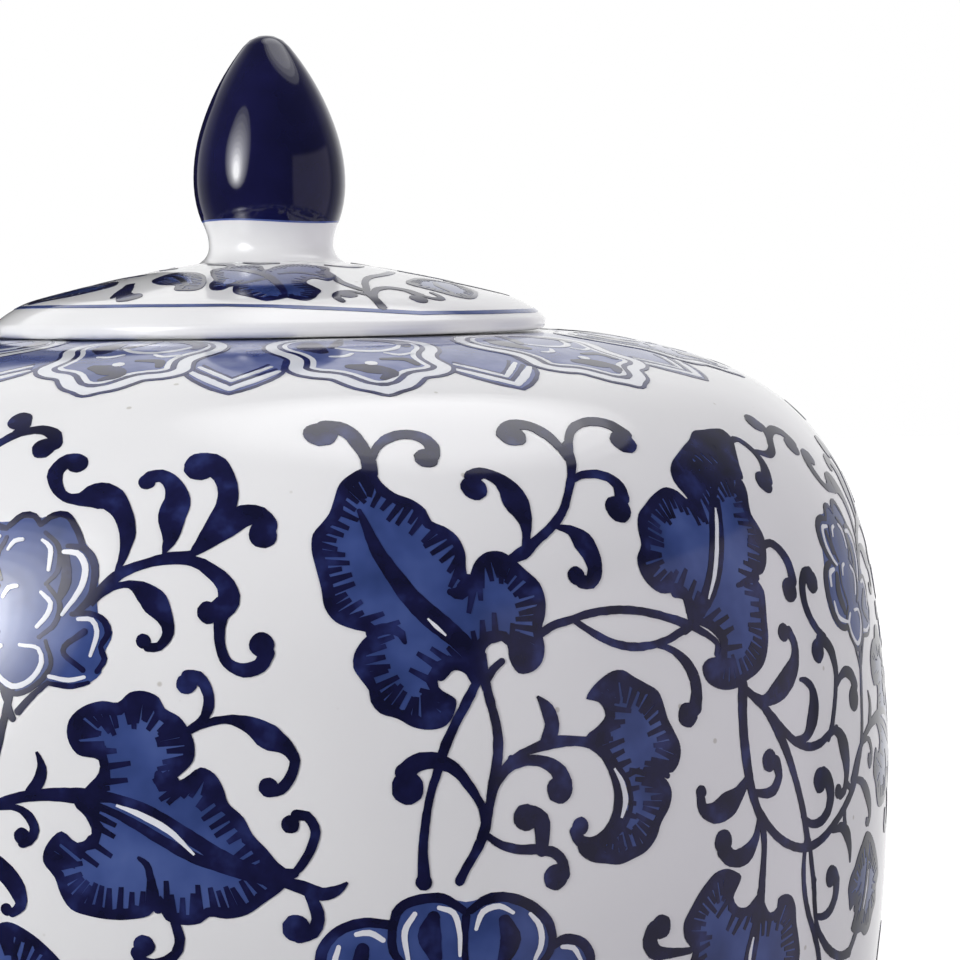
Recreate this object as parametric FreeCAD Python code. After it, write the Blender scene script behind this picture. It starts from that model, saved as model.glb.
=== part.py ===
"""A glazed porcelain ginger jar with a lift-off lid, built as a potter builds it: each separately made clay
piece is its own solid. The jar is a lower bowl, an upper shoulder section, a foot ring and a mouth collar. The
lid is a low domed cover with a locating ring under it and a hollow bud-shaped knob on top.

Every piece is a turned form, so each one is a closed outline in the plane of radius and height, spun about +Z.
The foot stands on Z = 0, centred on the origin. Sizes are in millimetres."""

import math
import os

import FreeCAD
import Part

# Jar
BELLY_RADIUS = 150.0
BELLY_HEIGHT = 172.0
WALL = 6.5
# Going up from the belly, the outer wall turns inwards in four arcs, and the last one ends level, at the seat.
BELLY_ARC_RADIUS = 291.0
BELLY_TURN = 9.3
HAUNCH_ARC_RADIUS = 122.0
HAUNCH_TURN = 8.1
SHOULDER_ARC_RADIUS = 52.8
SHOULDER_TURN = 52.4
TOP_ARC_RADIUS = 140.0
# Going down from the belly it turns inwards in two arcs, and a hollow ankle brings it back upright at the foot.
FLANK_ARC_RADIUS = 454.0
FLANK_TURN = 7.0
LOWER_ARC_RADIUS = 152.0
LOWER_TURN = 40.0
ANKLE_ARC_RADIUS = 22.0
FLOOR_THICKNESS = 8.0

# Foot ring and mouth collar
FOOT_RING_WIDTH = 9.5
FOOT_BEVEL = 1.2
COLLAR_OUTER_RADIUS = 58.0
MOUTH_RADIUS = 50.0
COLLAR_DEPTH = 9.5
COLLAR_ROUND = 1.5

# Lid, with heights above the underside of its rim, which rests a hair's breadth over the seat
SEAT_GAP = 0.3
KNOB_SEAT_RADIUS = 18.3
KNOB_SEAT_HEIGHT = 17.0
DOME_START_SLOPE = 9.0
DOME_ARC_RADIUS = 360.0
DOME_TURN = 6.35
EDGE_ARC_RADIUS = 24.0
EDGE_TURN = 26.6
RIM_ARC_RADIUS = 1.8
RIM_BOTTOM_ROUND = 1.6
LID_WALL = 5.2
RECESS_RADIUS = 48.5
RECESS_CORNER_HEIGHT = 7.0
VENT_RADIUS = 2.5
RING_THICKNESS = 5.0
RING_CLEARANCE = 1.5
RING_DEPTH = 13.0
RING_ROUND = 1.2

# Knob, a bud on a waisted neck
BUD_RADIUS = 18.5
BUD_SIDE_ARC_RADIUS = 40.6
BUD_SIDE_TURN = 17.0
BUD_UPPER_ARC_RADIUS = 61.0
BUD_UPPER_TURN = 22.6
BUD_LOWER_ARC_RADIUS = 27.3
NECK_TURN = 23.4
NECK_ARC_RADIUS = 11.7
FLARE_ARC_RADIUS = 4.6
FLARE_TURN = 70.0
CAVITY_RADIUS = 11.5
CAVITY_ARC_RADIUS = 38.0
CAVITY_MOUTH_RADIUS = 4.0

AXIS_START = FreeCAD.Vector(0, 0, 0)
AXIS_DIRECTION = FreeCAD.Vector(0, 0, 1)
FULL_TURN = 360.0


class Outline:
    """A chain of straight runs and tangent arcs in the plane of radius (X) and height (Z)."""

    def __init__(self, radius, height, heading=0.0):
        self.radius = radius
        self.height = height
        self.heading = heading
        self.edges = []

    def point(self):
        return FreeCAD.Vector(self.radius, 0, self.height)

    def to(self, radius, height):
        """A straight run to a given radius and height."""
        start = self.point()
        self.heading = math.degrees(math.atan2(height - self.height, radius - self.radius))
        self.radius, self.height = radius, height
        self.edges.append(Part.LineSegment(start, self.point()).toShape())
        return self

    def turn(self, arc_radius, degrees):
        """An arc that starts along the heading and turns left by degrees, or right if that is negative."""
        start = self.point()
        side = math.copysign(1.0, degrees)
        to_centre = math.radians(self.heading + side * 90.0)
        centre_r = self.radius + arc_radius * math.cos(to_centre)
        centre_z = self.height + arc_radius * math.sin(to_centre)

        def on_arc(share):
            angle = to_centre + math.pi + math.radians(degrees * share)
            return centre_r + arc_radius * math.cos(angle), centre_z + arc_radius * math.sin(angle)

        middle = FreeCAD.Vector(on_arc(0.5)[0], 0, on_arc(0.5)[1])
        self.radius, self.height = on_arc(1.0)
        self.heading += degrees
        self.edges.append(Part.Arc(start, middle, self.point()).toShape())
        return self


def spin(edges):
    """The solid swept by a closed outline turning about the axis."""
    wire = Part.Wire(Part.__sortEdges__(edges))
    solid = Part.Face(wire).revolve(AXIS_START, AXIS_DIRECTION, FULL_TURN)
    return solid if solid.ShapeType == "Solid" else Part.Solid(solid.Shells[0])


def join(first, second):
    """The straight edge that closes the gap between two outlines' ends."""
    return Part.LineSegment(first.point(), second.point()).toShape()


def seat_height():
    """The height of the flat seat, where the shoulder's last arc comes level."""
    return upper_wall(0.0).height


def upper_wall(inset):
    """The shoulder's outline from the belly up to the level seat, inset by a wall thickness."""
    wall = Outline(BELLY_RADIUS - inset, BELLY_HEIGHT, 90.0)
    wall.turn(BELLY_ARC_RADIUS - inset, BELLY_TURN)
    wall.turn(HAUNCH_ARC_RADIUS - inset, HAUNCH_TURN)
    wall.turn(SHOULDER_ARC_RADIUS - inset, SHOULDER_TURN)
    return wall.turn(TOP_ARC_RADIUS - inset, 180.0 - wall.heading)


def luting_seam():
    """The level joint at the belly, where the shoulder section is luted on to the bowl."""
    outside = FreeCAD.Vector(BELLY_RADIUS, 0, BELLY_HEIGHT)
    inside = FreeCAD.Vector(BELLY_RADIUS - WALL, 0, BELLY_HEIGHT)
    return Part.LineSegment(outside, inside).toShape()


def upper_body():
    """The shoulder section, from the luted seam at the belly to the opening that the collar fills."""
    outer = upper_wall(0.0)
    outer.to(COLLAR_OUTER_RADIUS, outer.height)
    inner = upper_wall(WALL)
    inner.to(COLLAR_OUTER_RADIUS, inner.height)
    return spin(outer.edges + [join(outer, inner)] + inner.edges + [luting_seam()])


def lower_wall(inset):
    """The bowl's outline from the belly down, as far as both walls run parallel."""
    wall = Outline(BELLY_RADIUS - inset, BELLY_HEIGHT, -90.0)
    wall.turn(FLANK_ARC_RADIUS - inset, -FLANK_TURN)
    return wall.turn(LOWER_ARC_RADIUS - inset, -LOWER_TURN)


def ankle():
    """The outer wall with its hollow curve into the upright foot. It ends on top of the foot ring."""
    wall = lower_wall(0.0)
    return wall.turn(ANKLE_ARC_RADIUS, FLANK_TURN + LOWER_TURN)


def lower_body():
    """The bowl, from the luted seam at the belly to its flat underside."""
    outer = ankle()
    underside = outer.height
    outer.to(0.0, underside)
    inner = lower_wall(WALL)
    floor = underside + FLOOR_THICKNESS
    lean = math.radians(FLANK_TURN + LOWER_TURN)
    floor_corner_radius = (inner.height - floor) / (1.0 - math.sin(lean))
    inner.turn(floor_corner_radius, math.degrees(lean) - 90.0)
    inner.to(0.0, floor)
    return spin(outer.edges + [join(outer, inner)] + inner.edges + [luting_seam()])


def foot_ring():
    """The ring that the jar stands on, with its bottom edges ground off."""
    top = ankle()
    inside = top.radius - FOOT_RING_WIDTH
    ring = Outline(top.radius, top.height)
    ring.to(top.radius, FOOT_BEVEL)
    ring.to(top.radius - FOOT_BEVEL, 0.0)
    ring.to(inside + FOOT_BEVEL, 0.0)
    ring.to(inside, FOOT_BEVEL)
    ring.to(inside, top.height)
    ring.to(top.radius, top.height)
    return spin(ring.edges)


def mouth_collar(seat):
    """The short collar that lines the mouth and carries the lid, with a rounded inner lip."""
    collar = Outline(COLLAR_OUTER_RADIUS, seat - COLLAR_DEPTH)
    collar.to(COLLAR_OUTER_RADIUS, seat)
    collar.to(MOUTH_RADIUS + COLLAR_ROUND, seat)
    collar.turn(COLLAR_ROUND, 90.0)
    collar.to(MOUTH_RADIUS, seat - COLLAR_DEPTH)
    collar.to(COLLAR_OUTER_RADIUS, seat - COLLAR_DEPTH)
    return spin(collar.edges)


def lid_cover(rim):
    """The domed cover, from the underside of its thick rim up. A recess under the dome thins its middle."""
    knob_seat = rim + KNOB_SEAT_HEIGHT
    cover = Outline(VENT_RADIUS, knob_seat)
    cover.to(KNOB_SEAT_RADIUS, knob_seat)
    cover.heading = -DOME_START_SLOPE
    cover.turn(DOME_ARC_RADIUS, -DOME_TURN)
    cover.turn(EDGE_ARC_RADIUS, -EDGE_TURN)
    cover.turn(RIM_ARC_RADIUS, -(90.0 + cover.heading))
    cover.to(cover.radius, rim + RIM_BOTTOM_ROUND)
    cover.turn(RIM_BOTTOM_ROUND, -90.0)
    cover.to(RECESS_RADIUS, rim)
    cover.to(RECESS_RADIUS, rim + RECESS_CORNER_HEIGHT)
    cover.to(KNOB_SEAT_RADIUS, knob_seat - LID_WALL)
    cover.to(VENT_RADIUS, knob_seat - LID_WALL)
    cover.to(VENT_RADIUS, knob_seat)
    return spin(cover.edges)


def lid_locating_ring(rim, cover):
    """The upright ring under the cover that keeps it centred in the mouth. Its top is cut to the cover's recess."""
    outside = MOUTH_RADIUS - RING_CLEARANCE
    inside = outside - RING_THICKNESS
    bottom = rim - RING_DEPTH
    top = rim + KNOB_SEAT_HEIGHT
    ring = Outline(outside, top)
    ring.to(outside, bottom + RING_ROUND)
    ring.turn(RING_ROUND, -90.0)
    ring.to(inside + RING_ROUND, bottom)
    ring.turn(RING_ROUND, -90.0)
    ring.to(inside, top)
    ring.to(outside, top)
    pieces = spin(ring.edges).cut(cover).Solids
    return min(pieces, key=lambda solid: solid.BoundBox.ZMin)


def bud_wall(widest):
    """The bud's side and rounded tip, from its widest point up to the axis."""
    wall = Outline(BUD_RADIUS, widest, 90.0)
    wall.turn(BUD_SIDE_ARC_RADIUS, BUD_SIDE_TURN)
    wall.turn(BUD_UPPER_ARC_RADIUS, BUD_UPPER_TURN)
    lean = wall.heading - 90.0
    return wall.turn(wall.radius / math.cos(math.radians(lean)), 90.0 - lean)


def neck_wall(widest):
    """The knob's outside from its widest point down the waisted neck to the flare on the cover."""
    wall = Outline(BUD_RADIUS, widest, -90.0)
    wall.turn(BUD_LOWER_ARC_RADIUS, -NECK_TURN)
    wall.turn(NECK_ARC_RADIUS, NECK_TURN)
    return wall.turn(FLARE_ARC_RADIUS, FLARE_TURN)


def knob_cavity(widest, base):
    """The cavity's outline: up from the bud's widest point to the axis, and down through its open mouth."""
    top = Outline(CAVITY_RADIUS, widest, 90.0)
    top.turn(CAVITY_ARC_RADIUS, math.degrees(math.acos(1.0 - CAVITY_RADIUS / CAVITY_ARC_RADIUS)))
    bottom = Outline(CAVITY_RADIUS, widest)
    bottom.to(CAVITY_MOUTH_RADIUS, widest - (CAVITY_RADIUS - CAVITY_MOUTH_RADIUS))
    bottom.to(CAVITY_MOUTH_RADIUS, base)
    return top, bottom


def lid_knob(base):
    """The hollow bud on its neck. Its cavity opens downwards over the cover's vent, so that air escapes in firing."""
    widest = base - neck_wall(0.0).height
    bud = bud_wall(widest)
    neck = neck_wall(widest)
    top, bottom = knob_cavity(widest, base)
    return spin(bud.edges + [join(bud, top)] + top.edges + bottom.edges + [join(bottom, neck)] + neck.edges)


def main():
    seat = seat_height()
    rim = seat + SEAT_GAP
    cover = lid_cover(rim)
    parts = {
        "lower_body": lower_body(),
        "upper_body": upper_body(),
        "foot_ring": foot_ring(),
        "mouth_collar": mouth_collar(seat),
        "lid_cover": cover,
        "lid_locating_ring": lid_locating_ring(rim, cover),
        "lid_knob": lid_knob(rim + KNOB_SEAT_HEIGHT),
    }
    os.makedirs("parts", exist_ok=True)
    for name, solid in parts.items():
        box = solid.BoundBox
        print(
            f"{name}: valid {solid.isValid()}, volume {solid.Volume / 1000:.1f} cm3, "
            f"radius {box.XMax:.2f}, height {box.ZMin:.2f} to {box.ZMax:.2f}"
        )
        solid.exportStep(os.path.join("parts", name + ".step"))


main()
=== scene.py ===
"""The looks of a blue and white porcelain ginger jar with a lift-off lid.

The clay pieces are turned again here from the same outlines as the CAD model, dense and smooth enough for
gloss. The cobalt painting is laid on them as thin skins of its own. A place in the painting is an angle round
the jar in degrees, 0 at the front and growing towards +X, and a distance in millimetres along the wall,
outwards and down from the crest of the shoulder, or on the lid outwards from the knob."""

import math
import random

import bpy
import numpy as np
from mathutils import Matrix, Vector
from mathutils.geometry import delaunay_2d_cdt


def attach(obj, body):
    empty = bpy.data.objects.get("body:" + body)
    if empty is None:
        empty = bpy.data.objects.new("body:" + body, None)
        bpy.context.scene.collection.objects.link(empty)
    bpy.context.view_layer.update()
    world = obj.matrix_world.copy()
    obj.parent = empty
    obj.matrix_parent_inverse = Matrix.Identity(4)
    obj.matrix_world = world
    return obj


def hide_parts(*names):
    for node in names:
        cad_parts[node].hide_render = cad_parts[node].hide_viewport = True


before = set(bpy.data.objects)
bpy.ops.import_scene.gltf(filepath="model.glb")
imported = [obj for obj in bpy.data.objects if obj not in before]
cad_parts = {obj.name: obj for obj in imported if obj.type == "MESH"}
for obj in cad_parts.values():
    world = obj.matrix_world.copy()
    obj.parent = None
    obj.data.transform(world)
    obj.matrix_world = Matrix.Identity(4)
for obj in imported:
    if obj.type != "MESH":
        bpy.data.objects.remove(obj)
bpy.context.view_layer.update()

MM = 0.001

# How finely forms are turned and paint is laid, in millimetres, degrees or counts
SEGMENTS = 288
ARC_STEP = 2.0
ARC_STEP_DEGREES = 5.0
LINE_STEP = 1.0
FILL_STEP = 1.5
PAINT_GRID = 4.0
PAINT_SINK = 0.25
WELD = 0.01
BAND_COLUMNS = 360
CAP_COLUMNS = 180
CAP_ROWS = 24
DOT_SIDES = 18
RESERVE_ROUGHNESS = 0.03

# Jar outline, in millimetres and degrees, the same as the CAD model's
BELLY_RADIUS = 150.0
BELLY_HEIGHT = 172.0
WALL = 6.5
UPPER_ARCS = [(291.0, 9.3), (122.0, 8.1), (52.8, 52.4)]
TOP_ARC_RADIUS = 140.0
LOWER_ARCS = [(454.0, 7.0), (152.0, 40.0)]
LOWER_LEAN = 47.0
ANKLE_ARC_RADIUS = 22.0
FLOOR_THICKNESS = 8.0
FOOT_RING_WIDTH = 9.5
FOOT_BEVEL = 1.2
COLLAR_OUTER_RADIUS = 58.0
MOUTH_RADIUS = 50.0
COLLAR_DEPTH = 9.5
COLLAR_ROUND = 1.5

# Lid outline
SEAT_GAP = 0.3
KNOB_SEAT_RADIUS = 18.3
KNOB_SEAT_HEIGHT = 17.0
DOME_START_SLOPE = 9.0
DOME_ARCS = [(360.0, 6.35), (24.0, 26.6)]
RIM_ARC_RADIUS = 1.8
RIM_BOTTOM_ROUND = 1.6
LID_WALL = 5.2
RECESS_RADIUS = 48.5
RECESS_CORNER_HEIGHT = 7.0
VENT_RADIUS = 2.5
RING_THICKNESS = 5.0
RING_CLEARANCE = 1.5
RING_DEPTH = 13.0
RING_ROUND = 1.2

# Knob outline
BUD_RADIUS = 18.5
BUD_ARCS = [(40.6, 17.0), (61.0, 22.6)]
BUD_LEAN = 39.6
NECK_ARCS = [(27.3, -23.4), (11.7, 23.4), (4.6, 70.0)]
CAVITY_RADIUS = 11.5
CAVITY_ARC_RADIUS = 38.0
CAVITY_MOUTH_RADIUS = 4.0


# ---------------------------------------------------------------- turned outlines

class Outline:
    """A chain of arcs and straight runs in the plane of radius and height, with clay on its left.
    Each smooth run is a list of (radius, height, heading) samples, and a corner starts a new run."""

    def __init__(self, radius, height, heading=0.0):
        self.radius = radius
        self.height = height
        self.heading = heading
        self.runs = []

    def _extend(self, samples):
        smooth = self.runs and abs((self.runs[-1][-1][2] - samples[0][2] + 180.0) % 360.0 - 180.0) < 1.0
        if smooth:
            self.runs[-1].extend(samples[1:])
        else:
            self.runs.append(samples)
        self.radius, self.height, self.heading = samples[-1]
        return self

    def to(self, radius, height, steps=1):
        """A straight run to a given radius and height."""
        heading = math.degrees(math.atan2(height - self.height, radius - self.radius))
        start = (self.radius, self.height)
        samples = []
        for i in range(steps + 1):
            share = i / steps
            samples.append((
                start[0] + (radius - start[0]) * share,
                start[1] + (height - start[1]) * share,
                heading,
            ))
        return self._extend(samples)

    def turn(self, arc_radius, degrees):
        """An arc that turns left by degrees, or right if that is negative."""
        side = math.copysign(1.0, degrees)
        to_centre = math.radians(self.heading + side * 90.0)
        centre_r = self.radius + arc_radius * math.cos(to_centre)
        centre_z = self.height + arc_radius * math.sin(to_centre)
        length = arc_radius * math.radians(abs(degrees))
        steps = max(2, math.ceil(length / ARC_STEP), math.ceil(abs(degrees) / ARC_STEP_DEGREES))
        samples = []
        for i in range(steps + 1):
            angle = to_centre + math.pi + math.radians(degrees * i / steps)
            samples.append((
                centre_r + arc_radius * math.cos(angle),
                centre_z + arc_radius * math.sin(angle),
                self.heading + degrees * i / steps,
            ))
        return self._extend(samples)


def backwards(outline):
    """The same runs followed the other way."""
    runs = []
    for run in reversed(outline.runs):
        runs.append([(r, z, heading + 180.0) for r, z, heading in reversed(run)])
    return runs


def upper_wall(inset):
    wall = Outline(BELLY_RADIUS - inset, BELLY_HEIGHT, 90.0)
    for arc_radius, degrees in UPPER_ARCS:
        wall.turn(arc_radius - inset, degrees)
    return wall.turn(TOP_ARC_RADIUS - inset, 180.0 - wall.heading)


def lower_wall(inset):
    wall = Outline(BELLY_RADIUS - inset, BELLY_HEIGHT, -90.0)
    for arc_radius, degrees in LOWER_ARCS:
        wall.turn(arc_radius - inset, -degrees)
    return wall


def ankle():
    return lower_wall(0.0).turn(ANKLE_ARC_RADIUS, LOWER_LEAN)


def upper_body_runs():
    outer = upper_wall(0.0)
    seat = outer.height
    outer.to(COLLAR_OUTER_RADIUS, seat)
    inner = upper_wall(WALL)
    inner.to(COLLAR_OUTER_RADIUS, inner.height)
    outer.to(COLLAR_OUTER_RADIUS, inner.height)
    seam = Outline(BELLY_RADIUS - WALL, BELLY_HEIGHT).to(BELLY_RADIUS, BELLY_HEIGHT)
    return outer.runs + backwards(inner) + seam.runs


def lower_body_runs():
    outer = ankle()
    underside = outer.height
    outer.to(0.0, underside, 12)
    inner = lower_wall(WALL)
    floor = underside + FLOOR_THICKNESS
    corner = (inner.height - floor) / (1.0 - math.sin(math.radians(LOWER_LEAN)))
    inner.turn(corner, LOWER_LEAN - 90.0)
    inner.to(0.0, floor, 8)
    seam = Outline(BELLY_RADIUS, BELLY_HEIGHT).to(BELLY_RADIUS - WALL, BELLY_HEIGHT)
    return backwards(outer) + seam.runs + inner.runs


def foot_ring_runs():
    top = ankle()
    inside = top.radius - FOOT_RING_WIDTH
    ring = Outline(top.radius, top.height)
    ring.to(inside, top.height)
    ring.to(inside, FOOT_BEVEL)
    ring.to(inside + FOOT_BEVEL, 0.0)
    ring.to(top.radius - FOOT_BEVEL, 0.0)
    ring.to(top.radius, FOOT_BEVEL)
    return ring.to(top.radius, top.height).runs


def mouth_collar_runs():
    bottom = SEAT - COLLAR_DEPTH
    collar = Outline(COLLAR_OUTER_RADIUS, bottom)
    collar.to(COLLAR_OUTER_RADIUS, SEAT)
    collar.to(MOUTH_RADIUS + COLLAR_ROUND, SEAT)
    collar.turn(COLLAR_ROUND, 90.0)
    collar.to(MOUTH_RADIUS, bottom)
    return collar.to(COLLAR_OUTER_RADIUS, bottom).runs


def dome():
    """The lid's top, from the knob outwards and down to the side of the rim."""
    top = Outline(KNOB_SEAT_RADIUS, RIM + KNOB_SEAT_HEIGHT, -DOME_START_SLOPE)
    for arc_radius, degrees in DOME_ARCS:
        top.turn(arc_radius, -degrees)
    return top.turn(RIM_ARC_RADIUS, -(90.0 + top.heading))


def lid_cover_runs():
    knob_seat = RIM + KNOB_SEAT_HEIGHT
    flat = Outline(VENT_RADIUS, knob_seat).to(KNOB_SEAT_RADIUS, knob_seat)
    cover = dome()
    cover.to(cover.radius, RIM + RIM_BOTTOM_ROUND)
    cover.turn(RIM_BOTTOM_ROUND, -90.0)
    cover.to(RECESS_RADIUS, RIM)
    cover.to(RECESS_RADIUS, RIM + RECESS_CORNER_HEIGHT)
    cover.to(KNOB_SEAT_RADIUS, knob_seat - LID_WALL)
    cover.to(VENT_RADIUS, knob_seat - LID_WALL)
    cover.to(VENT_RADIUS, knob_seat)
    return backwards(cover) + backwards(flat)


def lid_locating_ring_runs():
    outside = MOUTH_RADIUS - RING_CLEARANCE
    inside = outside - RING_THICKNESS
    bottom = RIM - RING_DEPTH
    slope = (KNOB_SEAT_HEIGHT - LID_WALL - RECESS_CORNER_HEIGHT) / (RECESS_RADIUS - KNOB_SEAT_RADIUS)
    outside_top = RIM + RECESS_CORNER_HEIGHT
    inside_top = outside_top + slope * (outside - inside)
    ring = Outline(outside, outside_top)
    ring.to(outside, bottom + RING_ROUND)
    ring.turn(RING_ROUND, -90.0)
    ring.to(inside + RING_ROUND, bottom)
    ring.turn(RING_ROUND, -90.0)
    ring.to(inside, inside_top)
    ring.to(outside, outside_top)
    return backwards(ring)


def neck(widest):
    wall = Outline(BUD_RADIUS, widest, -90.0)
    for arc_radius, degrees in NECK_ARCS:
        wall.turn(arc_radius, degrees)
    return wall


def bud(widest):
    wall = Outline(BUD_RADIUS, widest, 90.0)
    for arc_radius, degrees in BUD_ARCS:
        wall.turn(arc_radius, degrees)
    return wall.turn(wall.radius / math.cos(math.radians(BUD_LEAN)), 90.0 - BUD_LEAN)


def lid_knob_runs():
    base = RIM + KNOB_SEAT_HEIGHT
    cavity_turn = math.degrees(math.acos(1.0 - CAVITY_RADIUS / CAVITY_ARC_RADIUS))
    cavity = Outline(CAVITY_RADIUS, KNOB_WIDEST, 90.0).turn(CAVITY_ARC_RADIUS, cavity_turn)
    mouth = Outline(CAVITY_RADIUS, KNOB_WIDEST)
    mouth.to(CAVITY_MOUTH_RADIUS, KNOB_WIDEST - (CAVITY_RADIUS - CAVITY_MOUTH_RADIUS))
    mouth.to(CAVITY_MOUTH_RADIUS, base)
    bottom = neck(KNOB_WIDEST)
    bottom.to(CAVITY_MOUTH_RADIUS, base)
    return backwards(cavity) + mouth.runs + backwards(bottom) + bud(KNOB_WIDEST).runs


SEAT = upper_wall(0.0).height
RIM = SEAT + SEAT_GAP
KNOB_WIDEST = RIM + KNOB_SEAT_HEIGHT - neck(0.0).height


def mesh_object(name, points, faces, normals, material):
    """An object from points in metres, with the turned form's own normals on its vertices."""
    mesh = bpy.data.meshes.new(name)
    mesh.from_pydata(points.tolist(), [], faces)
    mesh.polygons.foreach_set("use_smooth", [True] * len(mesh.polygons))
    mesh.normals_split_custom_set_from_vertices(normals.tolist())
    mesh.materials.append(material)
    made = bpy.data.objects.new(name, mesh)
    bpy.context.scene.collection.objects.link(made)
    return made


def lathe(name, runs, material):
    """Spins smooth runs about the axis, each with its own rings of vertices so that corners stay crisp."""
    points, normals, faces = [], [], []
    for run in runs:
        previous = None
        for r, z, heading in run:
            facing = math.radians(heading - 90.0)
            count = 1 if r < 1e-6 else SEGMENTS
            ring = list(range(len(points), len(points) + count))
            for k in range(count):
                turn = 2.0 * math.pi * k / SEGMENTS
                across, up = math.cos(facing), math.sin(facing)
                points.append((r * math.sin(turn) * MM, -r * math.cos(turn) * MM, z * MM))
                if count == 1:
                    normals.append((0.0, 0.0, math.copysign(1.0, up)))
                else:
                    normals.append((across * math.sin(turn), -across * math.cos(turn), up))
            if previous is not None:
                for k in range(SEGMENTS):
                    a, b = previous[k % len(previous)], previous[(k + 1) % SEGMENTS % len(previous)]
                    c, d = ring[(k + 1) % SEGMENTS % len(ring)], ring[k % len(ring)]
                    faces.append(list(dict.fromkeys((a, b, c, d))))
            previous = ring
    return mesh_object(name, np.array(points), faces, np.array(normals), material)


# ---------------------------------------------------------------- painting on a turned surface

class Skin:
    """A turned surface that is painted on, followed outwards and down from s = 0."""

    def __init__(self, runs):
        samples = []
        for run in runs:
            samples.extend(run if not samples else run[1:])
        self.r = np.array([sample[0] for sample in samples])
        self.z = np.array([sample[1] for sample in samples])
        self.facing = np.unwrap(np.radians([sample[2] + 90.0 for sample in samples]))
        steps = np.hypot(np.diff(self.r), np.diff(self.z))
        self.s = np.concatenate([[0.0], np.cumsum(steps)])

    def radius(self, s):
        return float(np.interp(s, self.s, self.r))

    def lay(self, degrees, s, lift):
        """Points in metres at lift millimetres over the surface, and its normals there."""
        turn = np.radians(degrees)
        r = np.interp(s, self.s, self.r)
        z = np.interp(s, self.s, self.z)
        facing = np.interp(s, self.s, self.facing)
        normals = np.stack([np.cos(facing) * np.sin(turn), -np.cos(facing) * np.cos(turn), np.sin(facing)], 1)
        points = np.stack([r * np.sin(turn), -r * np.cos(turn), z], 1) + normals * lift
        return points * MM, normals


def unit(vectors):
    """Rows of a flat array, each scaled to a length of one."""
    return vectors / np.maximum(np.hypot(*vectors.T), 1e-9)[:, None]


def smooth_line(points, closed, step):
    """A centripetal curve through given points, sampled about every step millimetres.
    The first two numbers of a point are millimetres on the flat, and the others ride along."""
    given = np.array(points, float)
    count = len(given)
    if closed:
        padded = np.vstack([given[-1], given, given[0], given[1]])
    else:
        padded = np.vstack([2 * given[0] - given[1], given, 2 * given[-1] - given[-2]])
    samples = []
    for i in range(count if closed else count - 1):
        p = padded[i:i + 4]
        gaps = np.maximum(np.sqrt(np.hypot(*(np.diff(p[:, :2], axis=0).T))), 1e-3)
        t = np.concatenate([[0.0], np.cumsum(gaps)])
        length = np.hypot(*(p[2, :2] - p[1, :2]))
        for share in np.arange(0.0, 1.0, 1.0 / max(1, round(length / step))):
            u = t[1] + (t[2] - t[1]) * share
            a = [((t[k + 1] - u) * p[k] + (u - t[k]) * p[k + 1]) / (t[k + 1] - t[k]) for k in range(3)]
            b = [((t[k + 2] - u) * a[k] + (u - t[k]) * a[k + 1]) / (t[k + 2] - t[k]) for k in range(2)]
            samples.append(((t[2] - u) * b[0] + (u - t[1]) * b[1]) / (t[2] - t[1]))
    if not closed:
        samples.append(given[-1])
    return np.array(samples)


def inside(points, ring):
    """Which of the points lie inside the ring, by counting the sides crossed on the way out."""
    ahead = np.roll(ring, -1, axis=0)
    x, y = points[:, :1], points[:, 1:]
    crosses = (ring[:, 1] > y) != (ahead[:, 1] > y)
    rise = np.where(ahead[:, 1] == ring[:, 1], 1.0, ahead[:, 1] - ring[:, 1])
    at = ring[:, 0] + (y - ring[:, 1]) / rise * (ahead[:, 0] - ring[:, 0])
    return np.sum(crosses & (x < at), axis=1) % 2 == 1


def covered(centres, rings):
    """Which of the centres lie inside any of the rings."""
    order = np.argsort(centres[:, 0])
    along = centres[order, 0]
    hit = np.zeros(len(centres), bool)
    for ring in rings:
        lows, highs = ring.min(axis=0), ring.max(axis=0)
        first, last = np.searchsorted(along, (lows[0], highs[0]))
        near = order[first:last]
        near = near[(centres[near, 1] > lows[1]) & (centres[near, 1] < highs[1]) & ~hit[near]]
        if len(near):
            hit[near] = inside(centres[near], ring)
    return hit


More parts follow.
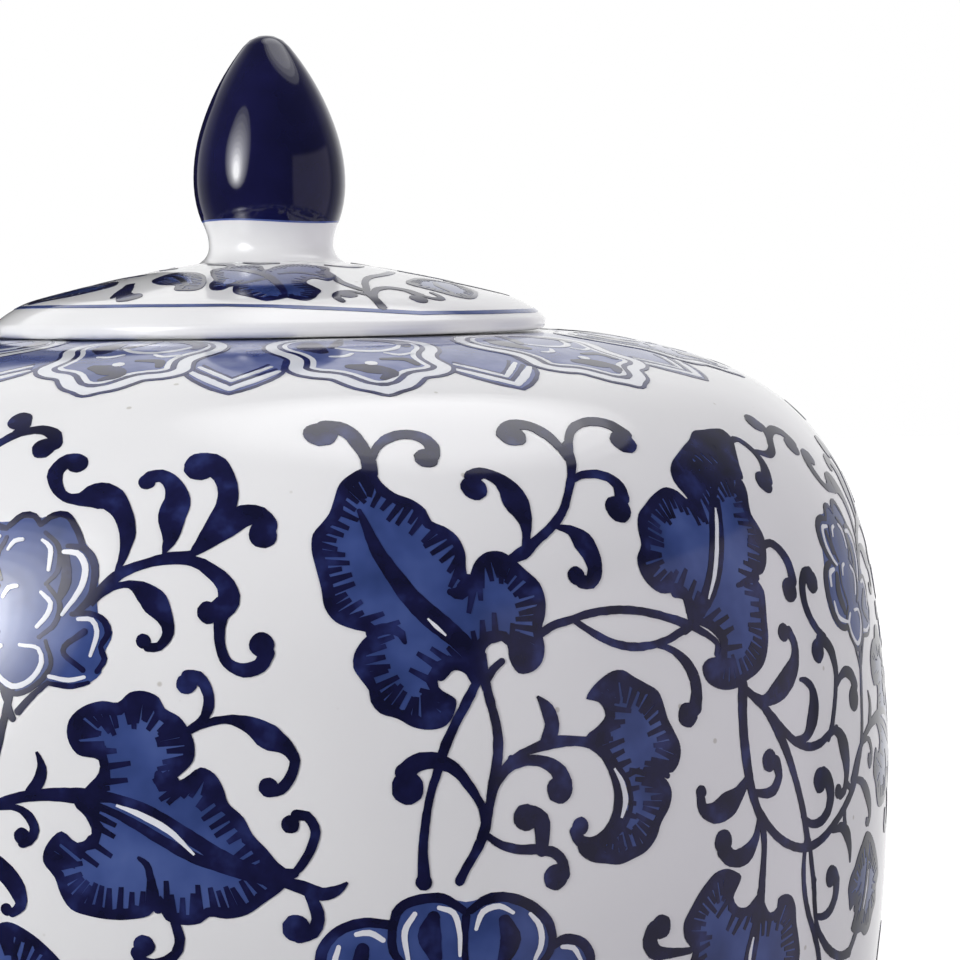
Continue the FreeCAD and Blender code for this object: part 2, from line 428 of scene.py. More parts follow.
class Paint:
    """Shapes in one colour, gathered as flat polygons and then laid on a surface as one thin skin.
    A place maps a motif's own (degrees, s) to the surface's, so one motif serves many times."""

    def __init__(self, skin, seed):
        self.skin = skin
        self.random = random.Random(seed)
        self.polygons = []
        self.place = lambda degrees, s: (degrees, s)

    def scale_at(self, s):
        """Millimetres to a degree at s."""
        return math.radians(max(self.skin.radius(s), 5.0))

    def add(self, polygon):
        self.polygons.append([self.place(degrees, s) for degrees, s in polygon])

    def dot(self, degrees, s, radius):
        across = self.scale_at(s)
        ring = []
        for k in range(DOT_SIDES):
            angle = 2.0 * math.pi * k / DOT_SIDES
            wobble = radius * (1.0 + self.random.uniform(-0.04, 0.04))
            ring.append((degrees + wobble * math.cos(angle) / across, s + wobble * math.sin(angle)))
        self.add(ring)

    def stroke(self, points, bulb=None, rough=0.06):
        """A brush stroke along (degrees, s, width) points with round ends, and a round bulb (degrees, s,
        radius) where it ends in one."""
        mean = self.scale_at(sum(point[1] for point in points) / len(points))
        line = smooth_line([(degrees * mean, s, width) for degrees, s, width in points], False, LINE_STEP)
        ahead = unit(np.gradient(line[:, :2], axis=0))
        left, right = [], []
        for (x, s, width), (dx, ds) in zip(line, ahead):
            half = max(width, 0.15) / 2.0
            jag = [half + self.random.uniform(-rough, rough) for _ in range(2)]
            left.append(((x - ds * jag[0]) / mean, s + dx * jag[0]))
            right.append(((x + ds * jag[1]) / mean, s - dx * jag[1]))
        for i in range(len(line) - 1):
            self.add([left[i], left[i + 1], right[i + 1], right[i]])
        for x, s, width in (line[0], line[-1]):
            if width > 0.5:
                self.dot(x / mean, s, width / 2.0)
        if bulb:
            self.dot(*bulb)

    def closed_line(self, outline, step):
        """A smooth closed line through the points, in millimetres, and the millimetres to a degree."""
        mean = self.scale_at(sum(point[1] for point in outline) / len(outline))
        return smooth_line([(degrees * mean, s) for degrees, s in outline], True, step), mean

    def fill(self, outline):
        """A filled shape inside a smooth closed outline of (degrees, s) points."""
        line, mean = self.closed_line(outline, FILL_STEP)
        self.add([(x / mean, s) for x, s in line])

    def build(self, name, body, slot, material, lift):
        """Joins the shapes into one closed skin, lifted off the surface and sunk a little under it."""
        flat = math.radians(float(self.skin.r.max()))
        rings = [np.array(polygon) * (flat, 1.0) for polygon in self.polygons]
        corners = [Vector(corner) for ring in rings for corner in ring]
        sides, first = [], 0
        for ring in rings:
            sides.extend((first + i, first + (i + 1) % len(ring)) for i in range(len(ring)))
            first += len(ring)
        lows, highs = np.min(corners, axis=0), np.max(corners, axis=0)
        columns = np.arange(lows[0], highs[0], PAINT_GRID)
        rows = np.arange(lows[1], highs[1], PAINT_GRID)
        corners.extend(Vector((x, y)) for x in columns for y in rows)
        flat_points, _, triangles, _, _, _ = delaunay_2d_cdt(corners, sides, [], 0, WELD, False)
        triangles = np.array([list(triangle) for triangle in triangles])
        centres = np.array(flat_points)[triangles].mean(axis=1)
        triangles = triangles[covered(centres, rings)].tolist()
        used = sorted({corner for triangle in triangles for corner in triangle})
        number = {corner: i for i, corner in enumerate(used)}
        top = [[number[corner] for corner in reversed(triangle)] for triangle in triangles]
        count = len(used)
        edges = {(a, b) for triangle in top for a, b in zip(triangle, triangle[1:] + triangle[:1])}
        rim = [(a, b) for a, b in edges if (b, a) not in edges]
        below = [[corner + count for corner in reversed(triangle)] for triangle in top]
        walls = [[b, a, a + count, b + count] for a, b in rim]
        degrees = np.array([flat_points[corner].x / flat for corner in used])
        s = np.array([flat_points[corner].y for corner in used])
        over, normals = self.skin.lay(degrees, s, lift)
        under, _ = self.skin.lay(degrees, s, -PAINT_SINK)
        painted(name, body, material, [over, under], [normals] * 2, top + below + walls)


def painted(name, body, material, points, normals, faces):
    """One piece of paint, from lists of point and normal arrays."""
    made = mesh_object(name, np.concatenate(points), faces, np.concatenate(normals), material)
    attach(made, body)


def band(name, body, material, skin, edges, lift):
    """A painted ring round the whole form, between two edges that are functions of the angle in degrees."""
    degrees = np.arange(BAND_COLUMNS) * 360.0 / BAND_COLUMNS
    upper, lower = (np.array([edge(angle) for angle in degrees]) for edge in edges)
    rows = max(1, math.ceil(float(np.max(lower - upper)) / ARC_STEP))
    over = [(row, lift) for row in range(rows + 1)]
    under = [(row, -PAINT_SINK) for row in range(rows, -1, -1)]
    laid = [skin.lay(degrees, upper + (lower - upper) * row / rows, depth) for row, depth in over + under]
    faces = []
    for ring in range(len(laid)):
        here, beyond = ring * BAND_COLUMNS, (ring + 1) % len(laid) * BAND_COLUMNS
        for k in range(BAND_COLUMNS):
            along = (k + 1) % BAND_COLUMNS
            faces.append([here + k, beyond + k, beyond + along, here + along])
    points, normals = zip(*laid)
    painted(name, body, material, points, normals, faces)


def cap(name, body, material, skin, edge, lift):
    """A painted cap over the tip of a form, down to an edge that is a function of the angle in degrees."""
    degrees = np.arange(CAP_COLUMNS) * 360.0 / CAP_COLUMNS
    lower = np.array([edge(angle) for angle in degrees])
    laid, faces = [], []
    for depth in (lift, -PAINT_SINK):
        laid.append(skin.lay(np.zeros(1), np.zeros(1), depth))
        for row in range(1, CAP_ROWS + 1):
            laid.append(skin.lay(degrees, lower * row / CAP_ROWS, depth))
    half = 1 + CAP_ROWS * CAP_COLUMNS
    last = half - CAP_COLUMNS
    for k in range(CAP_COLUMNS):
        along = (k + 1) % CAP_COLUMNS
        faces += [[0, 1 + k, 1 + along], [half, half + 1 + along, half + 1 + k]]
        for a in range(1, last, CAP_COLUMNS):
            b = a + CAP_COLUMNS
            faces += [[a + k, b + k, b + along, a + along],
                      [half + a + along, half + b + along, half + b + k, half + a + k]]
        faces.append([last + k, half + last + k, half + last + along, last + along])
    points, normals = zip(*laid)
    painted(name, body, material, points, normals, faces)


# ---------------------------------------------------------------- the painted motifs, in (degrees, s, width)

# A stroke is a list of points with the round bulb (degrees, s, radius) that ends it, or None

# Scrolling branch on the right of the flower
BRANCH = [
    ([(-14, 99.8, 0.8), (-13, 97, 1.4), (-12, 94.3, 2), (-11, 92.4, 1.8), (-9.5, 90.9, 1.7), (-8, 89.8, 2),
      (-6.3, 89, 1.6)], None),
    ([(-11.6, 92.6, 0.8), (-11.2, 89, 1.7), (-11.1, 85.5, 2.9), (-11.7, 81.5, 3.6), (-12.9, 78.6, 5.2),
      (-14.1, 78.4, 5.2), (-15.3, 79.3, 2.6), (-16.4, 79, 1.9), (-17.4, 76.8, 2.5), (-17.8, 73.6, 3.2),
      (-17.1, 70.9, 3.2), (-16.4, 70.9, 3.4)], (-16.2, 71.5, 2.1)),
    ([(-8.3, 88.9, 0.6), (-7.9, 86, 2.8), (-7.9, 82, 4.9), (-7.6, 78.3, 4.6), (-8.2, 75, 3.2),
      (-9.1, 73.5, 2.7), (-9.9, 73.9, 2.7)], (-10.15, 75, 1.6)),
    ([(-6.3, 88.7, 0.7), (-5.5, 86.3, 2.2), (-4.7, 83.2, 3), (-3.9, 79.6, 3.7), (-3.8, 76, 3.7),
      (-4.3, 72.6, 4.2), (-5.1, 70.7, 5.4), (-6, 70.9, 6)], (-6.1, 71.3, 2.9)),
    ([(-6.1, 88.9, 0.8), (-4.9, 86.3, 2.4), (-3.6, 83.2, 4.2), (-2.5, 81.3, 4.2), (-1.4, 81.2, 3.8),
      (-0.8, 83, 3.6)], (-1.15, 84.9, 2.5)),
    ([(-11.3, 93.5, 0.7), (-9.8, 91.3, 1.3), (-8, 90.2, 1.7), (-6.2, 90.1, 2), (-4.9, 91.7, 2.6),
      (-3.8, 94.3, 3.3), (-3.6, 97, 3.9), (-4.4, 99.1, 3.9)], (-5, 99.2, 2)),
    ([(-3.8, 97.5, 3), (-4.2, 101, 2.2), (-4.2, 104.5, 1.8), (-3.7, 107.8, 2), (-2.6, 109.1, 2.5),
      (-1.5, 108.2, 2.6), (-1, 106, 2.7)], (-1.35, 104.6, 2.2)),
    ([(-13.3, 98.9, 0.5), (-12.2, 96, 1.2), (-10.7, 94.8, 1.4), (-9.6, 96, 3.6), (-8.7, 98, 4.6),
      (-8, 100.6, 2.8), (-7.8, 103, 2), (-8.4, 105.4, 1.6), (-9.2, 105.7, 1.5)], (-9.5, 104.6, 1.3)),
]

# The flower: its silhouette, dark lines and lines left white, with degrees counted from its axis
FLOWER = dict(
    axis=-18.6,
    outline=[
        (0, 115), (2.2, 113.3), (4.8, 113), (6.2, 110.5), (6.3, 107.5), (6.9, 103.3), (5.8, 100.2),
        (5.7, 95), (5.2, 90), (4.1, 86.8), (3.3, 83.2), (2.1, 81.9), (0.7, 83.4), (-0.8, 82.6),
        (-1.9, 84.6), (-3.7, 84.9), (-5.2, 87.5), (-5.1, 92.5), (-5.6, 95.8), (-6.4, 99.5), (-6.4, 104.5),
        (-5.1, 108.8), (-2.6, 110.4), (-1.6, 112.5),
    ],
    lines=[
        [(-1.8, 85.4, 1.1), (-0.9, 83.2, 1.3), (0.1, 83.2, 1.2), (0.7, 84.8, 0.9)],
        [(0.7, 84.8, 0.9), (1.6, 82.8, 1.3), (2.6, 82.6, 1.3), (3.6, 85.2, 1.2), (4.2, 88, 1.2)],
        [(3.1, 88.5, 0.8), (4.3, 88.7, 1.3), (5.2, 91, 1.5), (5.4, 94.5, 1.3), (5.1, 97.5, 1.1),
         (4.1, 100.6, 0.9)],
        [(3.9, 100.6, 0.8), (5.2, 100.3, 1), (6.3, 101.5, 1.2), (6.6, 103.6, 1.2), (6.1, 106, 1),
         (6.4, 108, 1), (5.9, 110.3, 0.9)],
        [(2.4, 112.9, 0.8), (4.2, 113.1, 1), (5.3, 112.3, 0.7)],
        [(-2, 85.9, 1.1), (-3.6, 85.6, 1.6), (-4.8, 87.5, 2), (-4.9, 90.4, 2), (-4.3, 93.3, 1.6),
         (-3, 96, 1.1)],
        [(-3.9, 95.1, 1.2), (-5.3, 96.3, 2), (-6, 99.4, 2.4), (-6, 103.2, 2.4), (-5.3, 106.8, 2),
         (-3.9, 109.2, 1.6), (-2, 109.8, 1.1)],
        [(1.2, 86.2, 0.7), (2.4, 88.6, 0.9), (2.6, 93.2, 0.9), (1.8, 95.6, 0.7)],
        [(2, 96, 0.7), (3, 99, 1), (2.7, 102.5, 1), (1.6, 105, 0.8)],
        [(-1.8, 87.6, 0.8), (-2.3, 92, 1), (-1.7, 95.3, 0.8)],
        [(-1.8, 96.5, 0.8), (-2.2, 100, 1), (-1.5, 104.6, 0.8)],
        [(-1.5, 105.4, 0.8), (-2.5, 108.4, 0.9), (-2, 111.6, 0.9), (-0.2, 115.2, 0.9), (1.4, 113.6, 0.9),
         (2.6, 109.6, 0.9), (2.1, 105.6, 0.7)],
        [(3.1, 90.5, 1.4), (3.3, 95, 2), (2.9, 98, 1.2)],
        [(4.9, 103.5, 1.2), (3.4, 107, 1), (4.9, 110.2, 1)],
        [(-3, 98.5, 2.2), (-3.4, 102, 3), (-2.6, 106, 2)],
        [(-3, 89, 1.6), (-2.6, 93, 1.8)],
        [(2.4, 112.8, 0.8), (1.3, 115.3, 1.1), (0.3, 118.2, 1.4)],
        [(-1.1, 114, 0.8), (-0.6, 116.5, 1), (-0.1, 119.5, 1.3)],
    ],
    reserves=[
        [(2.9, 89.6, 0.8), (3.9, 89.7, 1.1), (4.6, 91.8, 1.2), (4.5, 95.5, 1.1), (3.2, 100.8, 0.6)],
        [(4.4, 101.4, 0.7), (5.4, 101.4, 0.9), (5.8, 103.3, 0.9), (5.4, 107.6, 0.6)],
        [(2.5, 111.7, 0.7), (3.9, 112.1, 0.8), (5, 111.4, 0.6)],
        [(-1.2, 107, 0.7), (-1.9, 108.6, 0.9), (-1.6, 111.3, 0.9), (-0.2, 113.9, 1), (1.1, 112.6, 0.9),
         (1.9, 109.3, 0.9), (1.6, 107, 0.7), (0.2, 106.6, 0.6)],
        [(-1.5, 89.8, 0.6), (-1.1, 88.2, 0.9), (-0.5, 87.8, 0.7)],
        [(1.1, 87.7, 0.6), (1.8, 89, 0.9), (1.9, 93, 0.7)],
        [(-1.4, 98.4, 0.6), (-1, 96.7, 0.9), (-0.4, 96.3, 0.7)],
        [(1.5, 97.1, 0.6), (2.3, 98.9, 0.9), (2.1, 101, 0.9), (1.4, 103.2, 0.7)],
        [(-2.4, 87.5, 0.7), (-3.7, 87.7, 1.1), (-4, 91, 1.1), (-3.1, 94.8, 0.9), (-2.4, 96, 0.6)],
        [(-3.5, 96.8, 0.8), (-4.7, 97.4, 1.3), (-5, 99.9, 0.9)],
        [(-5, 103.6, 0.7), (-4.6, 106.6, 1.1), (-3.3, 108, 0.9), (-2, 108.6, 0.6)],
    ],
)

# Leaf A, under the flower, with its stalk and the curls round it
LEAF_A = dict(
    outline=[
        (-13.3, 130.2), (-12.5, 127.8), (-12.5, 125.6), (-14, 124.8), (-14.7, 122), (-14.6, 119),
        (-13.7, 116.6), (-12.3, 115.3), (-11.2, 115.4), (-10.4, 113.6), (-9.4, 113.2), (-8.4, 114.2),
        (-8, 116), (-7, 117.4), (-6.4, 119.4), (-6, 122), (-6.1, 125), (-6.9, 127.3), (-7.6, 128.9),
        (-6.7, 128), (-5.6, 126), (-4.7, 127), (-4.1, 129.5), (-3.8, 132), (-2.8, 134.5), (-2.2, 137.5),
        (-1.3, 140), (-0.6, 142.3), (0.4, 144.6), (-0.3, 147), (-1.6, 149.5), (-2.7, 151.5), (-4.1, 152.3),
        (-5.2, 152), (-5.8, 153.2), (-7, 153.6), (-8.1, 152.8), (-8.6, 150.8), (-9.2, 152.2), (-10.3, 153),
        (-11.6, 153.3), (-13.1, 153), (-14.5, 152), (-15.2, 149.5), (-15.6, 146.6), (-16.4, 144),
        (-16.2, 141.3), (-15.1, 138.4), (-14, 140.2), (-13, 138.4), (-13.4, 135.6), (-14.2, 133.4),
    ],
    lines=[
        ([(-23.4, 142, 1.6), (-22, 138.5, 1.8), (-20.4, 135.6, 1.8), (-18, 133.1, 1.9), (-16, 132.2, 2.2),
          (-13.7, 132, 2.8), (-11.6, 132, 1.8), (-9.6, 133.4, 2), (-7.5, 136.3, 2.3), (-5.5, 139.6, 2.6),
          (-4, 142, 2.8), (-2.4, 144, 3), (-0.8, 144.8, 3.2), (0.5, 144.2, 1.6)], None),
        ([(-13.6, 132.8, 1.6), (-11.6, 134.4, 1.4), (-9.9, 136.5, 1.7), (-8.1, 139.1, 1.9),
          (-6.2, 141.6, 2), (-4.4, 143.2, 2), (-2.4, 145, 1.6)], None),
        ([(-8.6, 151, 1.6), (-9, 146, 1.4), (-9.3, 143.2, 1.2), (-9.8, 142.2, 0.7)], None),
        ([(-7.4, 128.7, 2), (-8.2, 129.4, 2.4), (-8.4, 127.6, 1.6)], None),
        ([(-14.6, 139.8, 1), (-13.8, 141.6, 1.2), (-13.1, 139.2, 1)], None),
        ([(-17.4, 132.2, 1.6), (-16.7, 130, 2.3), (-16.5, 127.5, 1.7), (-16.9, 124.9, 0.4)], None),
        ([(-19.6, 135.3, 0.9), (-18.3, 135, 1.2), (-17.4, 136.3, 1.7), (-17, 138.6, 1.8),
          (-17.4, 140.7, 1.5), (-17.9, 141.2, 1.5)], (-17.9, 139.9, 1.5)),
        ([(0, 145, 1), (0.8, 143.3, 1.4), (1.5, 140.5, 1.6), (1.9, 138, 1.7), (1.9, 136, 1.8),
          (1.4, 134.2, 1.8), (0.7, 134, 1.9)], (0.3, 135.6, 1.6)),
        ([(-0.6, 145.5, 1.6), (1, 146.7, 2.4), (2.3, 147.9, 2.4), (3.3, 147.3, 1.8),
          (4, 145.9, 0.5)], None),
        ([(1.3, 147.3, 1.6), (1.8, 150, 2.2), (2, 152.4, 2.3), (1.6, 154.6, 2.4),
          (0.7, 155.4, 2.4)], (0.5, 153.9, 2.4)),
        ([(-6.4, 119.6, 1.2), (-5.5, 118, 1.5), (-5, 115.4, 1.9), (-5.1, 112.6, 2), (-5.7, 110.5, 2.2),
          (-6.4, 110.4, 2.4)], (-6.5, 111.7, 1.8)),
        ([(-6.4, 119.9, 1.2), (-5.2, 118.4, 1.4), (-3.8, 117.6, 1.5), (-2.3, 118.4, 3), (-1, 120.5, 4.6),
          (0.2, 122.4, 2.6), (0.7, 124.6, 1.9), (0.4, 127.3, 1.8), (-0.3, 129.5, 2),
          (-0.9, 129.9, 2)], (-1.1, 129.2, 1.7)),
        ([(-22.6, 142.3, 1.2), (-20.9, 143.3, 2), (-19.4, 146, 3.4), (-18.3, 149.4, 3.2), (-18.1, 152.3, 2),
          (-18.7, 153.7, 1.5)], (-19.1, 153.2, 1.1)),
        ([(-7.5, 153.2, 1.6), (-7.2, 156, 1.8), (-7.5, 158.8, 1.8), (-8.5, 160.6, 1.9), (-9.7, 160.6, 2.1),
          (-10.1, 158.9, 2.2)], (-9.6, 157.6, 1.9)),
    ],
    slits=[[(-11.3, 133.2, 0.4), (-9.6, 134.7, 1.1), (-7.7, 137.3, 1.1), (-6.1, 141.2, 0.4)]],
)

# Leaf B, the large one in the middle, and the two curls on its tip
LEAF_B = dict(
    outline=[
        (6.9, 70.9), (5.6, 72.6), (4.8, 74.5), (4.3, 77.5), (3.8, 80.6), (3.1, 82.8), (2.5, 84.6),
        (2.35, 87.5), (2.6, 91), (2.9, 94.5), (3.1, 98), (3.8, 100.4), (5.2, 101.8), (6.1, 102.4),
        (5.6, 103.7), (5, 106), (4.9, 108.4), (5.4, 110.6), (5.9, 112.4), (6, 114.4), (6.6, 116.4),
        (7.8, 117.4), (8.8, 118.9), (10.1, 119.5), (11.2, 118.8), (11.8, 116.8), (12, 114.3), (11.4, 113.2),
        (10.8, 112), (10.9, 110), (11.8, 108.8), (12.9, 109.2), (13.9, 108.9), (14.4, 105.6), (15.3, 104),
        (16.1, 105), (16.2, 107.5), (16.8, 110.1), (17.9, 109.9), (18.7, 108.2), (19, 105.5), (18.9, 102.5),
        (19.3, 100), (19.5, 97), (19.2, 93.9), (18.3, 91.6), (17.5, 89.6), (16.6, 88), (15.4, 88),
        (14.4, 89.7), (13.9, 92), (13.7, 93.4), (13.6, 91), (13.7, 88), (13.3, 85), (12.4, 83), (11.5, 82),
        (11.2, 79.7), (10.3, 77.7), (9, 76.3), (8.1, 74), (7.6, 71.4),
    ],
    lines=[
        ([(6.1, 80, 0.9), (6.6, 84, 1.9), (7.2, 88, 2.6), (8.2, 92.2, 3.2), (9.3, 96.2, 3.6),
          (10.6, 99.6, 4), (12, 102.6, 3.8), (13.2, 105.8, 3.4), (13.9, 108.6, 2.8)], None),
        ([(6.3, 102.3, 2.2), (7.5, 101.6, 2), (8.4, 102.6, 1.6), (8.6, 104, 0.8)], None),
        ([(13.7, 93.2, 2.4), (12.9, 95.4, 2.6), (12.2, 95.2, 1.2)], None),
        ([(11, 110.2, 1.6), (11.9, 108.3, 1.8), (13, 108.9, 2), (13.5, 111.4, 1.6)], None),
        ([(13.8, 106.5, 2), (14.5, 104.3, 1.6), (15.5, 103.5, 1.6)], None),
        ([(15.6, 107.8, 1.2), (14.9, 109.2, 1.4), (14.2, 111.6, 1.4)], None),
        ([(7.3, 72.2, 2.8), (7.35, 68.6, 2.7), (6.9, 65.3, 3), (6.3, 62.3, 3.3), (5.4, 60.5, 3.5),
          (4.3, 60.3, 3.6)], (3.75, 62.4, 3.1)),
        ([(7.6, 69, 1.4), (8.5, 65.2, 1.7), (9.8, 63, 2.3), (11.2, 62.3, 2.5), (12.4, 63.2, 2.8),
          (13, 65.4, 2.8), (12.8, 67.6, 2.8)], (12.2, 68.4, 2.2)),
    ],
    slits=[[(10.35, 99.9, 0.3), (10.9, 101.3, 0.7), (11.6, 103, 0.3)]],
)

# The branch above leaf B, the twin stems on its right and the crossed stems below it
UPPER_BRANCH = [
    ([(16.8, 89.8, 1.2), (18.2, 88.4, 2.4), (19.6, 86, 1.8), (21.2, 83.3, 1.7), (22.6, 80, 1.6),
      (23.6, 76.3, 1.6), (24.5, 72.5, 1.8), (25.1, 69, 2.1), (25.5, 65.3, 1.8)], None),
    ([(18.6, 87, 1.4), (18.9, 84.5, 1.7), (19, 81.8, 3), (18.7, 78.5, 5.2), (18.4, 75.4, 4.4),
      (17.6, 73, 2.9), (16.5, 71.9, 2.5), (15.6, 72.8, 3)], (15.5, 75.2, 2.5)),
    ([(24.9, 69, 1.6), (24.6, 65.8, 2), (24, 62.5, 2.7), (22.9, 60.1, 2.8), (21.5, 59.6, 3),
      (20.6, 61, 3.6)], (20.6, 62.5, 2.9)),
    ([(25.2, 68, 1.6), (25.9, 64.3, 1.6), (27.1, 61, 1.8), (28.6, 59.3, 2.1), (30.2, 59, 2.8),
      (31.6, 60.2, 3.2), (32.3, 62.6, 3.5)], (31.6, 64.9, 2.8)),
    ([(24.2, 74.2, 1), (25.2, 72.9, 1.5), (26.6, 72.5, 2), (27.9, 73.3, 2.3), (28.6, 75.3, 2.7),
      (28.5, 77.8, 3.2)], (27.7, 80.2, 2.8)),
    ([(21.7, 83.5, 1), (22.6, 84.1, 2), (23.5, 86.3, 4.4), (24, 89, 3.8), (24.1, 92, 3), (23.5, 94.1, 2.7),
      (22.7, 94, 2.5)], (22.4, 92.9, 1.8)),
    ([(18.9, 103, 1.6), (20, 101.7, 1.5), (21.3, 101, 1.5), (22.7, 100.1, 1.5), (24.5, 99.6, 1.6),
      (26.5, 99.7, 1.6), (28.5, 100.6, 1.6), (30.2, 101.8, 1.7), (31.6, 103, 1.9),
      (32.4, 103.8, 1.6)], None),
    ([(21.6, 101, 1), (22.8, 103, 1.4), (24, 104.8, 1.5), (25.5, 106.2, 1.6), (27, 106.7, 1.6),
      (28.5, 106.5, 1.5), (30, 105.7, 1.5), (31.6, 104.2, 1.6)], None),
    ([(28.6, 106.5, 1.2), (29.9, 107.6, 1.4), (31.1, 109.8, 2), (31.9, 112.8, 2.6), (32.1, 116.2, 2.7),
      (31.8, 119.2, 3.2)], (31, 120.4, 2.4)),
]
LOWER_STEMS = [
    ([(13.9, 107, 3), (14.2, 111, 1.9), (14.6, 116, 1.7), (14.9, 120.5, 1.8), (14.8, 125, 1.9),
      (14.4, 129.5, 1.9), (14, 133.5, 1.5), (13.5, 138.5, 2), (12.9, 141.5, 1.7), (12.2, 144.3, 1.6),
      (11.7, 146.6, 1.7)], None),
    ([(13.8, 110.5, 1.6), (12.9, 114.3, 1.8), (12, 118, 1.7), (11.1, 122.3, 1.9), (10.4, 127, 1.6),
      (9.8, 131.5, 1.5), (9.4, 136.5, 1.6), (9.2, 141, 1.7), (9.2, 145.5, 2.3)], (9.2, 146.4, 1.5)),
    ([(13.7, 137, 1.6), (13.5, 133.8, 1.5), (12.7, 130, 1.8), (11.7, 126.7, 2.3), (10.4, 125, 2.9),
      (9, 125.2, 3.2), (8.1, 127, 3.4)], (8.3, 129.6, 2.9)),
    ([(13.8, 137.5, 1.2), (14.1, 133, 1.5), (14.6, 129.5, 1.7), (15.6, 126.9, 1.7), (17, 125.8, 1.9),
      (18.4, 126.4, 2.3), (19.4, 128.3, 3.2), (19.7, 130.5, 3.6)], (19.4, 131.5, 2.6)),
    ([(15, 127.5, 1.2), (16, 125.3, 1.4), (17.3, 123.9, 1.6), (19, 122.9, 2.3), (20.8, 122.9, 1.9),
      (22.3, 123.6, 2.2)], None),
    ([(15.8, 125.2, 1.2), (16.4, 125, 0.9), (16.3, 124.3, 0.4)], None),
    ([(18.1, 114.4, 0.4), (18.8, 116.8, 2.6), (19.1, 119.5, 2.8), (18.7, 122.6, 3)], None),
    ([(13.7, 138.6, 1.2), (14.8, 140.6, 1.6), (16.2, 141.7, 1.8), (17.8, 141.9, 2)], None),
    ([(17.8, 142.3, 2.2), (17.9, 139.3, 2.9), (17.8, 136.7, 3.4), (17.1, 135.5, 3.4)], (16.7, 136, 2.5)),
    ([(17.5, 142, 1.8), (18.8, 142.9, 2), (19.4, 144.8, 2.1), (19.4, 147, 2.7)], (18.8, 147.4, 2.4)),
]

# Leaf D, the curled one
LEAF_D = dict(
    outline=[
        (22, 115.5), (22.5, 113.7), (23.4, 112), (24.4, 110.8), (25.3, 110.7), (26.3, 112.2), (27.3, 113.6),
        (28.3, 115.2), (28.7, 117.5), (29, 120.5), (29.5, 123), (30, 126), (29.8, 128.8), (29.1, 130.7),
        (28.2, 130.5), (27.2, 129.7), (27.9, 130.8), (28.5, 132), (28.9, 134.4), (28.6, 137.2),
        (27.8, 139.8), (27.3, 142.5), (26.4, 144.7), (25.2, 145.8), (24, 146.5), (22.9, 146), (21.6, 145.2),
        (20.7, 143.2), (20.7, 141.6), (22.2, 141.2), (23.3, 139.6), (23.8, 136.5), (23.9, 133),
        (23.7, 129.8), (23, 126.6), (21.8, 124), (21.8, 122.2), (22.8, 120.6), (23.5, 118.8), (23.3, 117),
        (22.8, 115.9),
    ],
    lines=[
        ([(22, 123.2, 2), (23.2, 126, 1.9), (23.8, 129.5, 1.6), (24.1, 133.5, 1.5), (23.8, 137.5, 1.8),
          (23.1, 140.3, 2.2), (22, 141.9, 2.4), (20.9, 141.4, 2.4), (20.4, 139.4, 2)], (20.9, 138.5, 1.7)),
        ([(24.2, 128, 1), (25, 131.4, 1), (25.2, 135.5, 1), (24.7, 138.6, 1.2), (23.4, 141.6, 1.2)], None),
        ([(26.6, 129.4, 0.9), (27.6, 130, 1.2), (28.6, 131.2, 1.2)], None),
    ],
    slits=[[(23.9, 128.6, 0.4), (24.5, 131.4, 1), (24.7, 135, 1.1), (24.3, 137.9, 0.5)]],
)

